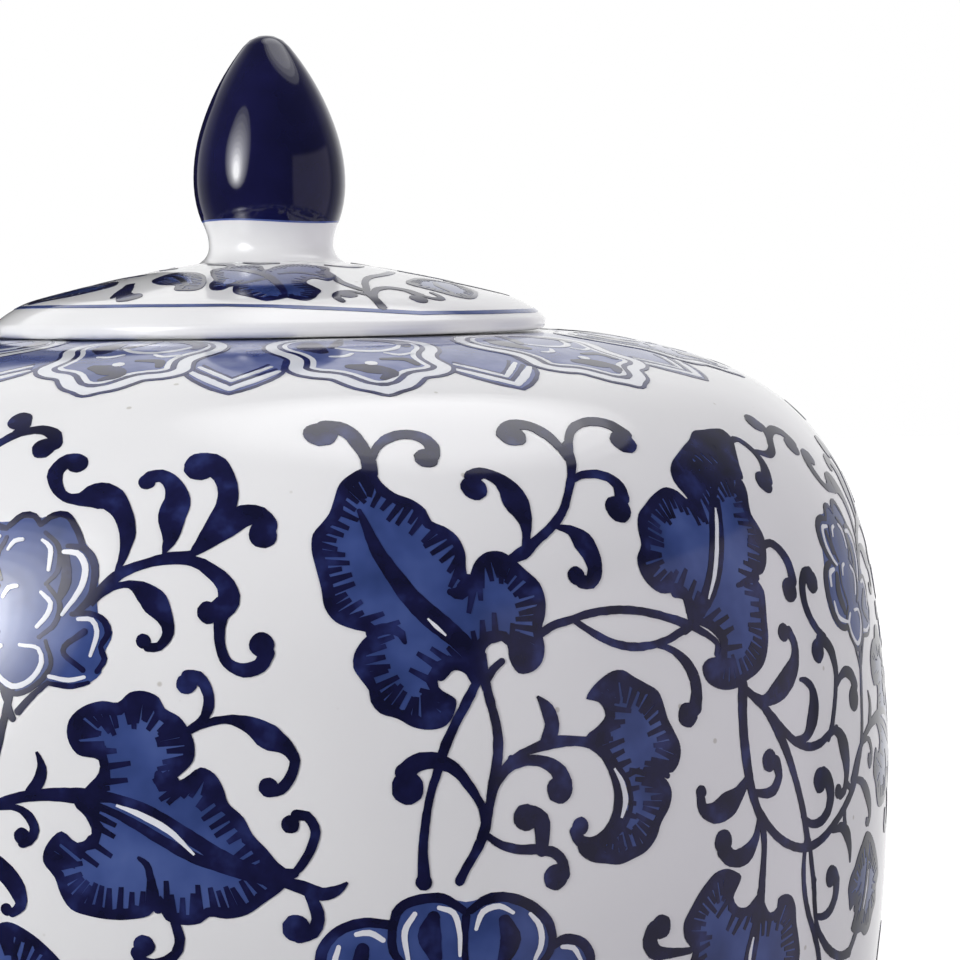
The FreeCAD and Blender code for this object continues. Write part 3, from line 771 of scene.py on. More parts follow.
# Leaf C, whose dark tip folds over, with the curls round it
LEAF_C = dict(
    outline=[
        (32.2, 103), (32.1, 100), (31.8, 98), (31.1, 97.2), (29.8, 97), (28.7, 95), (28.2, 92.5),
        (28.2, 90), (28.9, 87.5), (29, 84.5), (29.5, 81.5), (30.6, 79.4), (31.7, 77.6), (33.5, 76),
        (34.6, 77), (35.4, 79), (36.2, 78.2), (37.4, 75.2), (39.5, 74), (42, 73), (43.5, 75.4), (43.4, 78),
        (42.9, 80.5), (42.6, 83), (43, 85.3), (43.3, 88), (43.1, 90.5), (42.7, 93), (41.9, 95),
        (40.9, 95.8), (41.5, 98.5), (41.4, 101.5), (41.2, 104.5), (41.1, 107.5), (40.7, 110.5), (40, 113),
        (39, 114.5), (37.8, 115.5), (36.5, 116.6), (35.2, 116.7), (34, 115.8), (33.2, 114.2), (33, 111.6),
        (33.7, 110.3), (34.8, 109.9), (35.2, 107.6), (34.4, 105.2), (33.4, 103.9),
    ],
    lines=[
        ([(31.6, 104.6, 1.4), (32.4, 103.2, 2.2), (33.4, 100.8, 2.2), (34.5, 97.4, 1.9), (35.4, 93.8, 1.6),
          (36.1, 90, 1.5), (36.8, 86, 1.4), (37.6, 82, 1.6), (38.6, 78.4, 1.8), (39.8, 75.4, 1.4)], None),
        ([(33.6, 101.6, 1.6), (35, 98.6, 1.5), (36.1, 95.2, 1.4), (37, 91.2, 1.4), (37.7, 87.2, 1.4),
          (38.3, 83, 1.5), (38.9, 79.4, 1.3)], None),
        ([(32.6, 104, 1.6), (33.8, 105.6, 1.4), (34.9, 107.8, 1.3), (34.6, 109.6, 1)], None),
        ([(40.9, 95.7, 1.8), (39.6, 96.2, 1.5), (38.3, 96.9, 0.9)], None),
        ([(31.2, 97.2, 1.8), (32.2, 98, 1.8), (32.4, 101, 1.8)], None),
        ([(35.5, 79.6, 2), (36, 81.6, 2.2), (36.2, 83.4, 0.9)], None),
        ([(42.9, 89.5, 1.8), (44, 89.2, 1.7), (45.2, 91, 2.2), (46, 94, 2.6),
          (46.1, 97.3, 2.9)], (45.3, 99.2, 2.6)),
        ([(45.8, 65.6, 1.6), (47.1, 65.3, 1.5), (48, 67.3, 1.7), (48.5, 70, 2), (48.3, 73, 2.6),
          (47.6, 75.4, 3.4)], (46.8, 76.2, 2.5)),
        ([(48.4, 68.6, 1), (49.5, 69.2, 1.5), (50.7, 69.7, 2), (51.9, 68.8, 2.1), (52.8, 66.8, 2.1),
          (53.7, 64.9, 2.3), (55, 63.7, 2.2), (56.4, 63.4, 2.5), (57.7, 64.8, 3),
          (58.1, 67, 3.2)], (57.2, 68.2, 2.5)),
        ([(53.6, 64.8, 2.2), (54.1, 62.2, 2.2), (53.6, 60.3, 2.4)], (53.1, 61, 2.6)),
    ],
    slits=[[(34.6, 98.9, 0.4), (35.6, 95.2, 0.9), (36.4, 91.3, 1.1), (37.1, 87.3, 1), (37.8, 83.5, 0.9),
            (38.2, 81, 0.4)]],
)
LEAF_C_FOLD = [
    (35.8, 79.4), (35.2, 77.3), (34.8, 75), (35, 72.3), (35.8, 70.2), (37, 68.4), (38.5, 66.4), (40, 64.6),
    (41.3, 62.6), (43, 62.3), (44.6, 62.1), (46, 62.5), (46.3, 64.5), (46, 66.3), (45.3, 68.6),
    (44.5, 71.6), (43.7, 75.2), (42.2, 73.9), (39.8, 74.8), (37.6, 75.6), (36.6, 78),
]

# The stems and curls that hang from leaf C and cross over to the next flower
HANGING_STEMS = [
    ([(37.2, 116.3, 2.8), (36.9, 121, 2.6), (36.8, 126, 2.5), (36.9, 131, 2.6), (37.2, 136, 2.3),
      (37.8, 140.5, 2.1), (38.4, 144, 1.9), (38.6, 148.5, 1.6), (38.4, 153.5, 1.8), (38.2, 158.5, 2.2),
      (38, 163, 2.4)], None),
    ([(37.5, 117.2, 1.6), (38.8, 119.8, 1.9), (40.3, 123, 1.7), (41.8, 126.6, 1.8), (43.4, 129.6, 1.8),
      (45.4, 131.4, 1.8), (47.3, 131.4, 1.8), (49, 130.2, 1.7), (50.5, 129.6, 1.6)], None),
    ([(38.7, 119, 1.2), (40.2, 123.5, 2), (41.5, 128.5, 2.4), (42.4, 133, 2.1), (43.2, 138, 1.9),
      (43.9, 143, 1.9), (44.4, 148, 1.9), (44.7, 151.5, 2.3)], None),
    ([(44.3, 150.6, 1.2), (44, 156, 1.5), (44.2, 161, 1.6), (44.9, 166, 1.6), (46, 171, 1.7),
      (46.9, 176, 1.7), (47.4, 182, 1.8), (47.2, 188, 1.8)], None),
    ([(44.9, 150.6, 1.2), (45.3, 156, 1.5), (45.7, 160.5, 1.7), (45.9, 165, 1.5), (46.4, 169.5, 1.4),
      (47.6, 173.5, 1.9), (49.3, 177, 2), (51.3, 179.3, 2), (53.5, 180, 2.4)], None),
    ([(45.6, 160.6, 1.4), (45.9, 159.4, 0.9), (45.7, 158.2, 0.4)], None),
    ([(38.1, 118.2, 1.2), (39.6, 120, 2.2), (41.5, 118.8, 4.4), (43.2, 116.4, 4.8), (44.4, 113.5, 3.3),
      (44.7, 110.2, 2.3), (44.1, 107.4, 2.3)], (43.3, 107.4, 1.9)),
    ([(43.1, 129.3, 1.2), (45, 129.2, 2.2), (46.2, 126.3, 4), (46.8, 122.6, 3.8), (46.6, 119.6, 2.2),
      (45.7, 117.9, 1.6), (45, 117.5, 0.9)], None),
    ([(36.9, 134.5, 1.6), (35.9, 136.8, 3), (34.6, 138.7, 5.2), (33, 139.8, 4.2), (31.9, 138.5, 2.5),
      (31.7, 136, 1.9)], (31.8, 135.3, 1.3)),
    ([(37.4, 137.3, 1.2), (38.7, 138.2, 1.9), (40, 138, 2.3), (40.8, 135.5, 2.3),
      (40.5, 132.6, 2.9)], (39.7, 132, 2.3)),
    ([(38, 143, 1), (37.6, 146.5, 2), (36.4, 149.3, 3.8), (34.8, 149.4, 3.4),
      (33.9, 147.4, 3.6)], (33.9, 145.7, 2.4)),
    ([(37.9, 140.8, 1.7), (39.2, 145, 1.9), (41, 148.7, 1.9), (43, 151, 1.9), (45, 151.9, 2),
      (47.2, 151.2, 1.9), (49.3, 149.3, 1.9), (51.3, 147, 1.9), (52.8, 144.8, 2.1), (54, 142.3, 2.2),
      (55, 139, 1.9), (56, 135.5, 1.8), (56.6, 131, 1.6), (57.1, 125, 1.5), (57.7, 118.5, 1.5),
      (58.1, 114, 1.6)], None),
    ([(43.9, 145, 1.2), (45.1, 147.1, 1.7), (46.6, 147.6, 2.1), (48.1, 146, 2.7), (48.7, 142.8, 3.5),
      (48.3, 139.7, 3.8), (47.5, 138, 3.4)], (46.9, 139, 2.7)),
    ([(49.6, 129.6, 1.2), (50.8, 130.7, 2.6), (51.7, 133.8, 4.8), (52.1, 137.5, 3.8), (52, 140.7, 2.3),
      (51.4, 143.3, 2.1), (50.6, 143.8, 2.1)], (50.2, 142.9, 1.6)),
    ([(51.8, 141.3, 1.4), (52.7, 143.2, 1.6), (53.6, 143.2, 1.4)], None),
    ([(46, 167, 1), (47.2, 168, 1.6), (48.6, 167.6, 2.3), (49.6, 165.2, 2.7), (49.8, 162, 3.1),
      (49.3, 160, 3.1)], (48.7, 160.2, 2.4)),
    ([(49, 150.7, 1), (50.8, 150.9, 2.4), (52, 153.2, 3.2), (52.6, 156.5, 1.9), (52.7, 159.6, 0.5)], None),
    ([(51.5, 147, 1), (51.4, 149.4, 1.6), (51.6, 151.4, 1.6)], None),
    ([(50, 110.2, 1.6), (48.8, 108.3, 1.9), (47.8, 105.3, 2.1), (47.3, 102, 2.3), (47.5, 98.6, 2.5),
      (48.3, 96.6, 2.8), (49.2, 96.5, 2.9)], (49.3, 98.4, 2.5)),
    ([(48.9, 110.5, 2.6), (50.2, 111.5, 2.8), (51.1, 114.2, 2.9), (51.4, 118, 2.2), (50.9, 122, 1.7),
      (50.3, 125.5, 1.7), (49.7, 128.5, 1.7), (48.8, 131, 1.6)], (48.4, 112.6, 2.6)),
    ([(51.1, 121, 1.2), (52.2, 119.3, 1.7), (53.6, 118.7, 2.5), (54.8, 119.9, 3),
      (55.5, 122.3, 3.2)], (54.9, 124.9, 2.9)),
    ([(30.4, 165.6, 1.4), (28.5, 165.2, 2), (27, 164.2, 3.2), (26.6, 161.8, 3.4),
      (27, 160, 3.6)], (27.6, 159.7, 2.4)),
]

# Leaves E and F, at the waist of the jar
LEAF_E = dict(
    outline=[
        (31.3, 154.8), (32.2, 152.8), (33, 151.5), (34.2, 151.2), (35.2, 152.2), (35.8, 153.4),
        (35.3, 155.6), (34.9, 157.2), (35.4, 159.2), (36.5, 159.9), (37.4, 158.6), (38.2, 157.6),
        (38.7, 160.5), (39.4, 162.6), (40.3, 162), (40.4, 160.3), (41.3, 159.8), (42.2, 160.6), (42.8, 163),
        (43, 166.5), (43.4, 170), (43.7, 174), (43, 178), (41.6, 180.6), (41.2, 183.8), (39.6, 185.6),
        (37.8, 185), (36.6, 186.4), (34.9, 185.4), (34, 182), (32.3, 180.6), (31.4, 177.4), (31.6, 174.6),
        (30.4, 172.4), (30.2, 169), (30.7, 166), (29.9, 163), (29.8, 160), (30.6, 157),
    ],
    lines=[
        ([(38.2, 157.6, 2.4), (37.9, 162, 2.4), (37.1, 166.4, 1.9), (36.5, 171, 1.6), (36.6, 176, 1.4),
          (37, 180, 0.8)], None),
        ([(37.9, 163.6, 1.2), (37.7, 167.4, 1.3), (37.3, 172, 1.2), (37.3, 176.4, 0.8)], None),
        ([(38.8, 162.6, 1.6), (39.6, 163.6, 1.6), (40.5, 163, 1.2)], None),
    ],
    slits=[[(37.3, 166.4, 0.4), (36.9, 170, 0.9), (36.9, 174, 0.4)]],
)
LEAF_F = dict(
    outline=[
        (-19.1, 155.4), (-20.6, 157.3), (-21.8, 159.3), (-22.6, 161.2), (-23.7, 163), (-24.2, 165.3),
        (-23.9, 168), (-23.5, 170.5), (-22.7, 169.8), (-22.1, 170.7), (-22.4, 173), (-23, 174.8),
        (-21.6, 176.9), (-19.8, 177.6), (-18.4, 179.4), (-16.6, 178.6), (-15.6, 176), (-14.4, 174),
        (-14.6, 170.6), (-13.6, 168), (-14.2, 165), (-15.2, 161.9), (-16.2, 159.3), (-17.6, 156.7),
    ],
    lines=[
        ([(-23.2, 179.8, 2.2), (-21.6, 176.8, 2.2), (-20.2, 173, 2.2), (-19.2, 168.6, 2),
          (-18.6, 163.6, 1.6), (-18.8, 159, 0.8)], None),
        ([(-20.6, 176, 1.2), (-19.2, 172.4, 1.4), (-18.2, 168, 1.2), (-17.8, 163.6, 0.8)], None),
        ([(-22.2, 170.8, 1.6), (-21.4, 169.4, 1.6), (-20.6, 168.6, 0.8)], None),
    ],
    slits=[[(-19.7, 172.4, 0.4), (-18.8, 168.4, 0.9), (-18.3, 164.4, 0.4)]],
)

# The flower below leaf D's stems, at the waist
WAIST_FLOWER = dict(
    axis=12.1,
    outline=[
        (0, 150.4), (1.6, 149.8), (3.2, 150), (5, 152.4), (6.4, 156), (6.7, 159.4), (7.6, 158.9),
        (8.8, 160), (9.6, 163), (9.7, 168), (8.6, 173), (6.4, 176), (6, 179.6), (3.6, 182.6), (0, 186),
        (-3.6, 182.6), (-6, 179.6), (-6.4, 176), (-9, 173), (-10, 168), (-10.2, 162), (-9.8, 157),
        (-8.6, 154.2), (-7, 153), (-5.4, 153.6), (-4.4, 150.6), (-3, 149.2), (-1.5, 149.2),
    ],
    lines=[
        [(-0.2, 151.8, 1.4), (-1.6, 149.5, 1.8), (-3.1, 149.4, 1.8), (-4.6, 150.8, 1.8), (-5.1, 154, 1.6),
         (-5.1, 158.6, 1.6), (-4.2, 161.8, 1.2)],
        [(0.3, 152, 1.4), (1.5, 150.2, 1.8), (3.1, 150.2, 1.8), (5, 152.6, 2), (6.2, 156.2, 1.8),
         (6.3, 160.2, 1.6), (5.2, 164, 1.2)],
        [(-5.2, 153.8, 1.6), (-7, 153.2, 1.8), (-8.7, 154.4, 1.8), (-9.8, 157.5, 2), (-10, 162, 2),
         (-9, 166, 1.4)],
        [(6.4, 160, 1.6), (7.4, 159, 1.8), (8.7, 160.2, 2), (9.4, 163.2, 2), (9.2, 167, 1.4)],
        [(-9.6, 165, 1.4), (-9.8, 170, 2), (-8.2, 174, 2), (-5.6, 175.6, 1.4)],
        [(9.2, 165.6, 1.4), (9.4, 170, 2), (8, 174, 2), (5.4, 175.6, 1.4)],
        [(-6, 174.6, 1.4), (-5.6, 179.4, 2), (-3, 183, 1.8), (0, 185.6, 1.6), (3, 183, 1.8),
         (5.6, 179.4, 2), (5.8, 174.6, 1.4)],
        [(-4, 163, 1.2), (-4.4, 167.6, 1.4), (-2.6, 171.6, 1.4), (0, 173.4, 1.4), (2.8, 171.6, 1.4),
         (4.4, 167.6, 1.4), (4, 163, 1.2)],
        [(0, 153, 1.6), (-0.2, 158, 1.4), (0, 163, 1)],
    ],
    reserves=[
        [(-4.1, 160.6, 0.7), (-4.3, 155, 1.1), (-3.6, 152, 0.9)],
        [(-1.9, 151.1, 0.8), (-0.9, 152.2, 1.1), (-0.5, 156, 0.9), (-0.5, 160, 0.6)],
        [(0.7, 155.4, 0.7), (1.2, 152.4, 1.1), (2.4, 151.6, 1), (3.4, 153, 0.7)],
        [(4.7, 153.6, 0.7), (5.4, 156, 1.1), (5.5, 159.4, 1.1), (5, 162.2, 0.7)],
        [(-7.6, 155.2, 0.8), (-6.7, 155, 1.1), (-5.8, 156.4, 0.9)],
        [(-8.8, 157.4, 0.8), (-9.1, 161, 1.1), (-8.4, 164.4, 0.7)],
        [(7.1, 160.4, 0.7), (8, 160.9, 1), (8.6, 163.4, 0.7)],
        [(-8.8, 168, 0.7), (-8.4, 171.6, 1), (-6.6, 173.6, 0.7)],
        [(8.4, 168, 0.7), (8, 171.6, 1), (6.4, 173.6, 0.7)],
        [(-4.6, 176.4, 0.7), (-4, 179.4, 1.1), (-1.6, 182.2, 0.9), (0.4, 183.6, 0.7)],
        [(4.4, 176.4, 0.7), (3.8, 179.4, 1), (2.2, 181.2, 0.7)],
        [(-3.2, 164.6, 0.7), (-3.2, 167.4, 0.9), (-1.8, 170.2, 0.9), (0.2, 171.6, 0.6)],
    ],
    shades=[
        [(-2.3, 152.8, 2.4), (-2.6, 156, 4.4), (-2.2, 160, 2.4)],
        [(2.8, 154.4, 2.4), (3.2, 158, 4), (2.6, 162, 2.2)],
        [(-7.2, 158, 2.4), (-7.4, 162, 3), (-6.6, 166, 2)],
        [(0, 164.6, 2.6), (0, 169, 2.2)],
    ],
)

# The pointed collar on the shoulder: cloud heads over plain tongues, with degrees counted from their axes
HEADS = 12
HEAD_AXIS = 11.0
TONGUE_AXIS = 25.5
CLOUD_HEAD = [
    (0, 52.8), (1.3, 51.3), (2.8, 49.7), (4, 47.1), (5, 44.8), (6.9, 43.8), (8.6, 41.8), (9.4, 39),
    (9.2, 36), (9.1, 33), (9.8, 30), (11.1, 27), (12, 23.4), (12.1, 19), (11.2, 15), (9.5, 11.6), (7, 9.2),
    (3.5, 8.2),
]
HEAD_STROKES = [
    [(-2.2, 38.4, 3), (-0.2, 39.8, 5.6), (1.6, 42.6, 3.6), (0.4, 45.6, 1.6)],
    [(-5.6, 18, 4), (-5.8, 22.5, 6), (-4.8, 27, 3)],
    [(-0.2, 12, 1.4), (-1.4, 17.6, 2.2), (-3, 23, 1.6)],
    [(2.4, 13, 1.6), (5.6, 14.6, 3), (8, 18.4, 3.4), (7.8, 22.6, 1.8)],
    [(2.2, 33.4, 1.6), (5, 34, 2.4), (5.6, 37.6, 1.6)],
]
HEAD_RESERVES = [
    ([(-4, 31, 0.8), (-2.3, 31, 1.3), (-1, 28.8, 0.8)], (0.3, 36.3, 1.3)),
    ([(3.4, 28.6, 0.8), (4.8, 30.4, 1.3), (6.8, 29.2, 0.8)], None),
    ([(-2.4, 23.5, 0.8), (0, 26.3, 1.4), (3, 26.8, 1.5), (5.5, 24.8, 1.4), (7, 21.5, 0.8)], None),
]
TONGUE = [
    (0, 51.8), (1.7, 50), (3.4, 46.3), (5, 42.3), (7.2, 36), (8.5, 28), (8.7, 18), (8.5, 6),
]
TONGUE_STROKES = [
    ([(8.6, 12, 2.4), (7.6, 20, 4.4), (7, 28, 3.6), (5.8, 36, 1.6), (5.2, 41.8, 1), (3.4, 46.6, 0.9),
      (1.6, 49.9, 0.9), (0, 51.9, 0.9)], "dark"),
    ([(4.9, 40.3, 1.2), (2.5, 45, 1.9), (0, 49.6, 1.6)], "white"),
    ([(4.6, 38.8, 1), (2.4, 43, 1), (0, 47.5, 1)], "dark"),
    ([(4.1, 37.3, 0.9), (2.2, 41, 1.2), (0, 45.4, 1)], "white"),
    ([(3.8, 35.8, 0.8), (2, 40, 0.8), (0, 43.8, 0.8)], "dark"),
]

# The lid's spray of leaves, repeated round it
LID_LEAVES = [
    [(-20, 23), (-19, 28), (-16, 33), (-13.5, 33), (-11.5, 27.4), (-11, 31), (-9.5, 36), (-6.5, 38.4),
     (-4.5, 40), (-1.5, 42.3), (1.5, 41.5), (3.4, 40.4), (5, 41.5), (7.5, 42.5), (9.5, 41), (11, 38),
     (12.5, 35), (11.5, 31), (10.4, 28), (11.5, 24.6), (14.5, 22.9), (18, 25.6), (20.5, 24), (22, 18),
     (25, 15), (29, 10), (22, 5.4), (10, 5), (2, 7.6), (-3, 12), (-6, 6.8), (-20, 6), (-30, 11), (-26, 16)],
    [(-48, 14), (-46, 22), (-37, 27), (-30.4, 28), (-27, 32.6), (-20.6, 32.8), (-21, 26), (-27, 18),
     (-36, 14)],
    [(44, 29), (46, 36), (48, 41.4), (52, 43), (60, 40), (67, 35.6), (71, 28), (64, 23.6), (55, 24)],
]
LID_CURLS = [
    ([(-50, 26.6, 2.4), (-45, 31, 3.2), (-41, 35.6, 3.6), (-37.6, 38.2, 4.2)], (-36.7, 38.4, 3.2)),
    ([(-47, 30.6, 1.6), (-44, 34.6, 2), (-42, 38.4, 1.2)], None),
    ([(23.5, 46.6, 1.8), (23.5, 42, 1.7), (24, 37, 1.7), (26, 33, 1.7), (29, 28, 1.8), (33, 24, 1.9),
      (38, 21.5, 2.1), (48, 19, 2.1), (60, 16, 2)], None),
    ([(23.8, 35, 1.5), (22.5, 31, 2), (21.5, 26, 2.2), (22.5, 21, 2), (24, 15, 1.4)], None),
    ([(24, 41, 1.4), (26, 37, 1.8), (29, 34, 2.2), (33, 33, 2.6), (36.6, 35.4, 3),
      (37.3, 39.6, 3.2)], (35, 42.4, 2.3)),
    ([(37.6, 40.2, 1.4), (39.4, 42.4, 1.8), (42, 42.4, 1.8), (43.2, 38, 1.4)], None),
    ([(22.6, 38.4, 1.4), (20, 35.6, 1.6), (17, 36.4, 1.8), (14.8, 40, 2),
      (15.4, 43, 1.6)], (18.2, 38.4, 2.4)),
    ([(-48, 2.4, 1.4), (-30, 3.6, 2.4), (-21, 8, 1.4)], None),
    ([(-20, 1, 1.4), (-8, 3, 2), (4, 2.6, 1.2)], None),
    ([(34, 6, 1.2), (46, 8.6, 2.4), (60, 7.6, 1.4)], None),
]
LID_RIBS = [
    [(-24, 10.6, 1.4), (-12, 13, 2.4), (-3, 18, 2.8), (1, 26, 2.2), (2.6, 34, 1.4), (3, 39, 0.8)],
    [(0, 21, 1.4), (-6, 25, 1.8), (-13, 30, 1.2)],
    [(3, 17, 1.2), (11, 16, 1.8), (18, 20, 1.2)],
    [(-42, 18, 1), (-34, 21.6, 1.6), (-26, 28, 1)],
    [(60, 28, 1), (54, 32, 1.6), (51, 38, 1)],
]


# ---------------------------------------------------------------- materials

class Nodes:
    """A node tree's nodes and links, with the few kinds of node that the materials and the world share."""

    def __init__(self, owner):
        owner.use_nodes = True
        self.nodes, self.links = owner.node_tree.nodes, owner.node_tree.links

    def add(self, kind, **values):
        """A node of a kind, with an underscore for a space in the names of its inputs."""
        node = self.nodes.new("ShaderNode" + kind)
        for socket, value in values.items():
            node.inputs[socket.replace("_", " ")].default_value = value
        return node

    def ramp(self, factor, stops):
        node = self.add("ValToRGB")
        elements = node.color_ramp.elements
        while len(elements) < len(stops):
            elements.new(0.5)
        for element, (place, colour) in zip(elements, stops):
            element.position = place
            element.color = (*colour, 1.0)
        self.links.new(factor, node.inputs["Fac"])
        return node.outputs["Color"]

    def mix(self, kind, first, second):
        node = self.add("Mix")
        node.data_type = "RGBA"
        node.blend_type = kind
        node.inputs["Factor"].default_value = 1.0
        self.links.new(first, node.inputs["A"])
        self.links.new(second, node.inputs["B"])
        return node.outputs["Result"]


SPECK_SCALE = 95.0
SPECK_RADII = (0.035, 0.06)
RIPPLE_SCALE = 60.0
RIPPLE_HEIGHT = 0.0008


def glazed(name, stops, scale, roughness=0.08, specks=None, ripple=0.05):
    """A glossy or matt fired surface whose colour drifts between stops, with specks of another colour."""
    material = bpy.data.materials.new(name)
    tree = Nodes(material)
    shader = tree.nodes["Principled BSDF"]
    shader.inputs["Roughness"].default_value = roughness
    shader.inputs["IOR"].default_value = 1.5
    place = tree.add("TexCoord").outputs["Object"]
    drift = tree.add("TexNoise", Scale=scale, Detail=3.0)
    tree.links.new(place, drift.inputs["Vector"])
    colour = tree.ramp(drift.outputs["Fac"], stops)
    if specks:
        cells = tree.add("TexVoronoi", Scale=SPECK_SCALE)
        tree.links.new(place, cells.inputs["Vector"])
        core, rim = SPECK_RADII
        spots = tree.ramp(cells.outputs["Distance"], [(0.0, specks), (core, specks), (rim, (1.0, 1.0, 1.0))])
        colour = tree.mix("MULTIPLY", colour, spots)
    tree.links.new(colour, shader.inputs["Base Color"])
    if ripple:
        waves = tree.add("TexNoise", Scale=RIPPLE_SCALE, Detail=2.0)
        tree.links.new(place, waves.inputs["Vector"])
        bump = tree.add("Bump", Strength=ripple, Distance=RIPPLE_HEIGHT)
        tree.links.new(waves.outputs["Fac"], bump.inputs["Height"])
        tree.links.new(bump.outputs["Normal"], shader.inputs["Normal"])
    return material


WHITE = glazed("white_glaze", [(0.3, (0.765, 0.765, 0.775)), (0.7, (0.83, 0.83, 0.835))], 14.0,
               specks=(0.72, 0.70, 0.66))
DARK = glazed("cobalt_dark", [(0.35, (0.0045, 0.0050, 0.026)), (0.55, (0.0080, 0.0090, 0.050)),
                              (0.72, (0.020, 0.028, 0.120))], 170.0)
WASH = glazed("cobalt_wash", [(0.30, (0.024, 0.044, 0.150)), (0.5, (0.041, 0.070, 0.230)),
                              (0.68, (0.068, 0.107, 0.300)), (0.85, (0.13, 0.165, 0.36))], 70.0)
PALE_WASH = glazed("pale_cobalt_wash", [(0.30, (0.05, 0.075, 0.23)), (0.5, (0.12, 0.15, 0.34)),
                                        (0.75, (0.26, 0.29, 0.46))], 90.0)
OUTLINE = glazed("cobalt_outline", [(0.35, (0.012, 0.015, 0.075)), (0.7, (0.035, 0.045, 0.16))], 170.0)
RESERVE = glazed("reserved_white", [(0.3, (0.70, 0.72, 0.78)), (0.7, (0.80, 0.81, 0.84))], 60.0)
NAVY = glazed("navy_glaze", [(0.3, (0.0040, 0.0042, 0.026)), (0.7, (0.008, 0.008, 0.052))], 60.0,
              roughness=0.07, ripple=0.0)
NAVY_EDGE = glazed("thin_navy", [(0.3, (0.05, 0.07, 0.25)), (0.7, (0.10, 0.15, 0.42))], 120.0, ripple=0.0)
CLAY = glazed("bare_clay", [(0.3, (0.56, 0.49, 0.41)), (0.7, (0.66, 0.60, 0.52))], 80.0,
              roughness=0.75, ripple=0.3)


# ---------------------------------------------------------------- clay pieces

for name, node, runs, body, slot, material in (
    ("glazed_lower_body", "lower_body", lower_body_runs(), "jar", "white_glaze", WHITE),
    ("glazed_upper_body", "upper_body", upper_body_runs(), "jar", "white_glaze", WHITE),
    ("bare_foot_ring", "foot_ring", foot_ring_runs(), "jar", "bare_foot", CLAY),
    ("glazed_mouth_collar", "mouth_collar", mouth_collar_runs(), "jar", "white_glaze", WHITE),
    ("glazed_lid_cover", "lid_cover", lid_cover_runs(), "lid", "white_glaze", WHITE),
    ("glazed_locating_ring", "lid_locating_ring", lid_locating_ring_runs(), "lid", "white_glaze", WHITE),
    ("glazed_knob", "lid_knob", lid_knob_runs(), "lid", "white_glaze", WHITE),
):
    piece = lathe(name, runs, material)
    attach(piece, body)
    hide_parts(node)


# ---------------------------------------------------------------- the painting

BODY_SKIN = Skin(backwards(upper_wall(0.0)) + ankle().runs)
LID_SKIN = Skin(dome().runs)
KNOB_SKIN = Skin(backwards(bud(KNOB_WIDEST)) + neck(KNOB_WIDEST).runs)


# How much nearer than asked a line that is moved inwards may come to where it was
INSET_SLACK = 0.12


def inward(line):
    """At each point of a closed line, the direction square to it that points inside."""
    after = np.roll(line, -1, axis=0)
    ahead = unit(after - np.roll(line, 1, axis=0))
    turning = np.sign(np.sum(line[:, 0] * after[:, 1] - after[:, 0] * line[:, 1]))
    return np.stack([-ahead[:, 1], ahead[:, 0]], 1) * turning


def inset(line, distance):
    """A closed line moved inwards, without the parts that would come too near to it again."""
    moved = line + inward(line) * distance
    gaps = np.hypot(*(moved[:, None] - line[None]).transpose(2, 0, 1)).min(axis=1)
    return moved[gaps > abs(distance) - INSET_SLACK]


# How far each colour of paint stands over the clay
WASH_LIFT = 0.10
STROKE_LIFT = 0.15
WHITE_LIFT = 0.20

# The comb of brush strokes inside a leaf's rim
COMB_SMOOTHING = 8
COMB_SWAY = 0.08
COMB_SHORTEST = 1.0
COMB_CLEARANCE = 0.8
COMB_TIP = 0.42
FOLD_COMB = dict(rim=3.0, hatch=9.0)
LID_COMB = dict(rim=1.2, hatch=3.0)


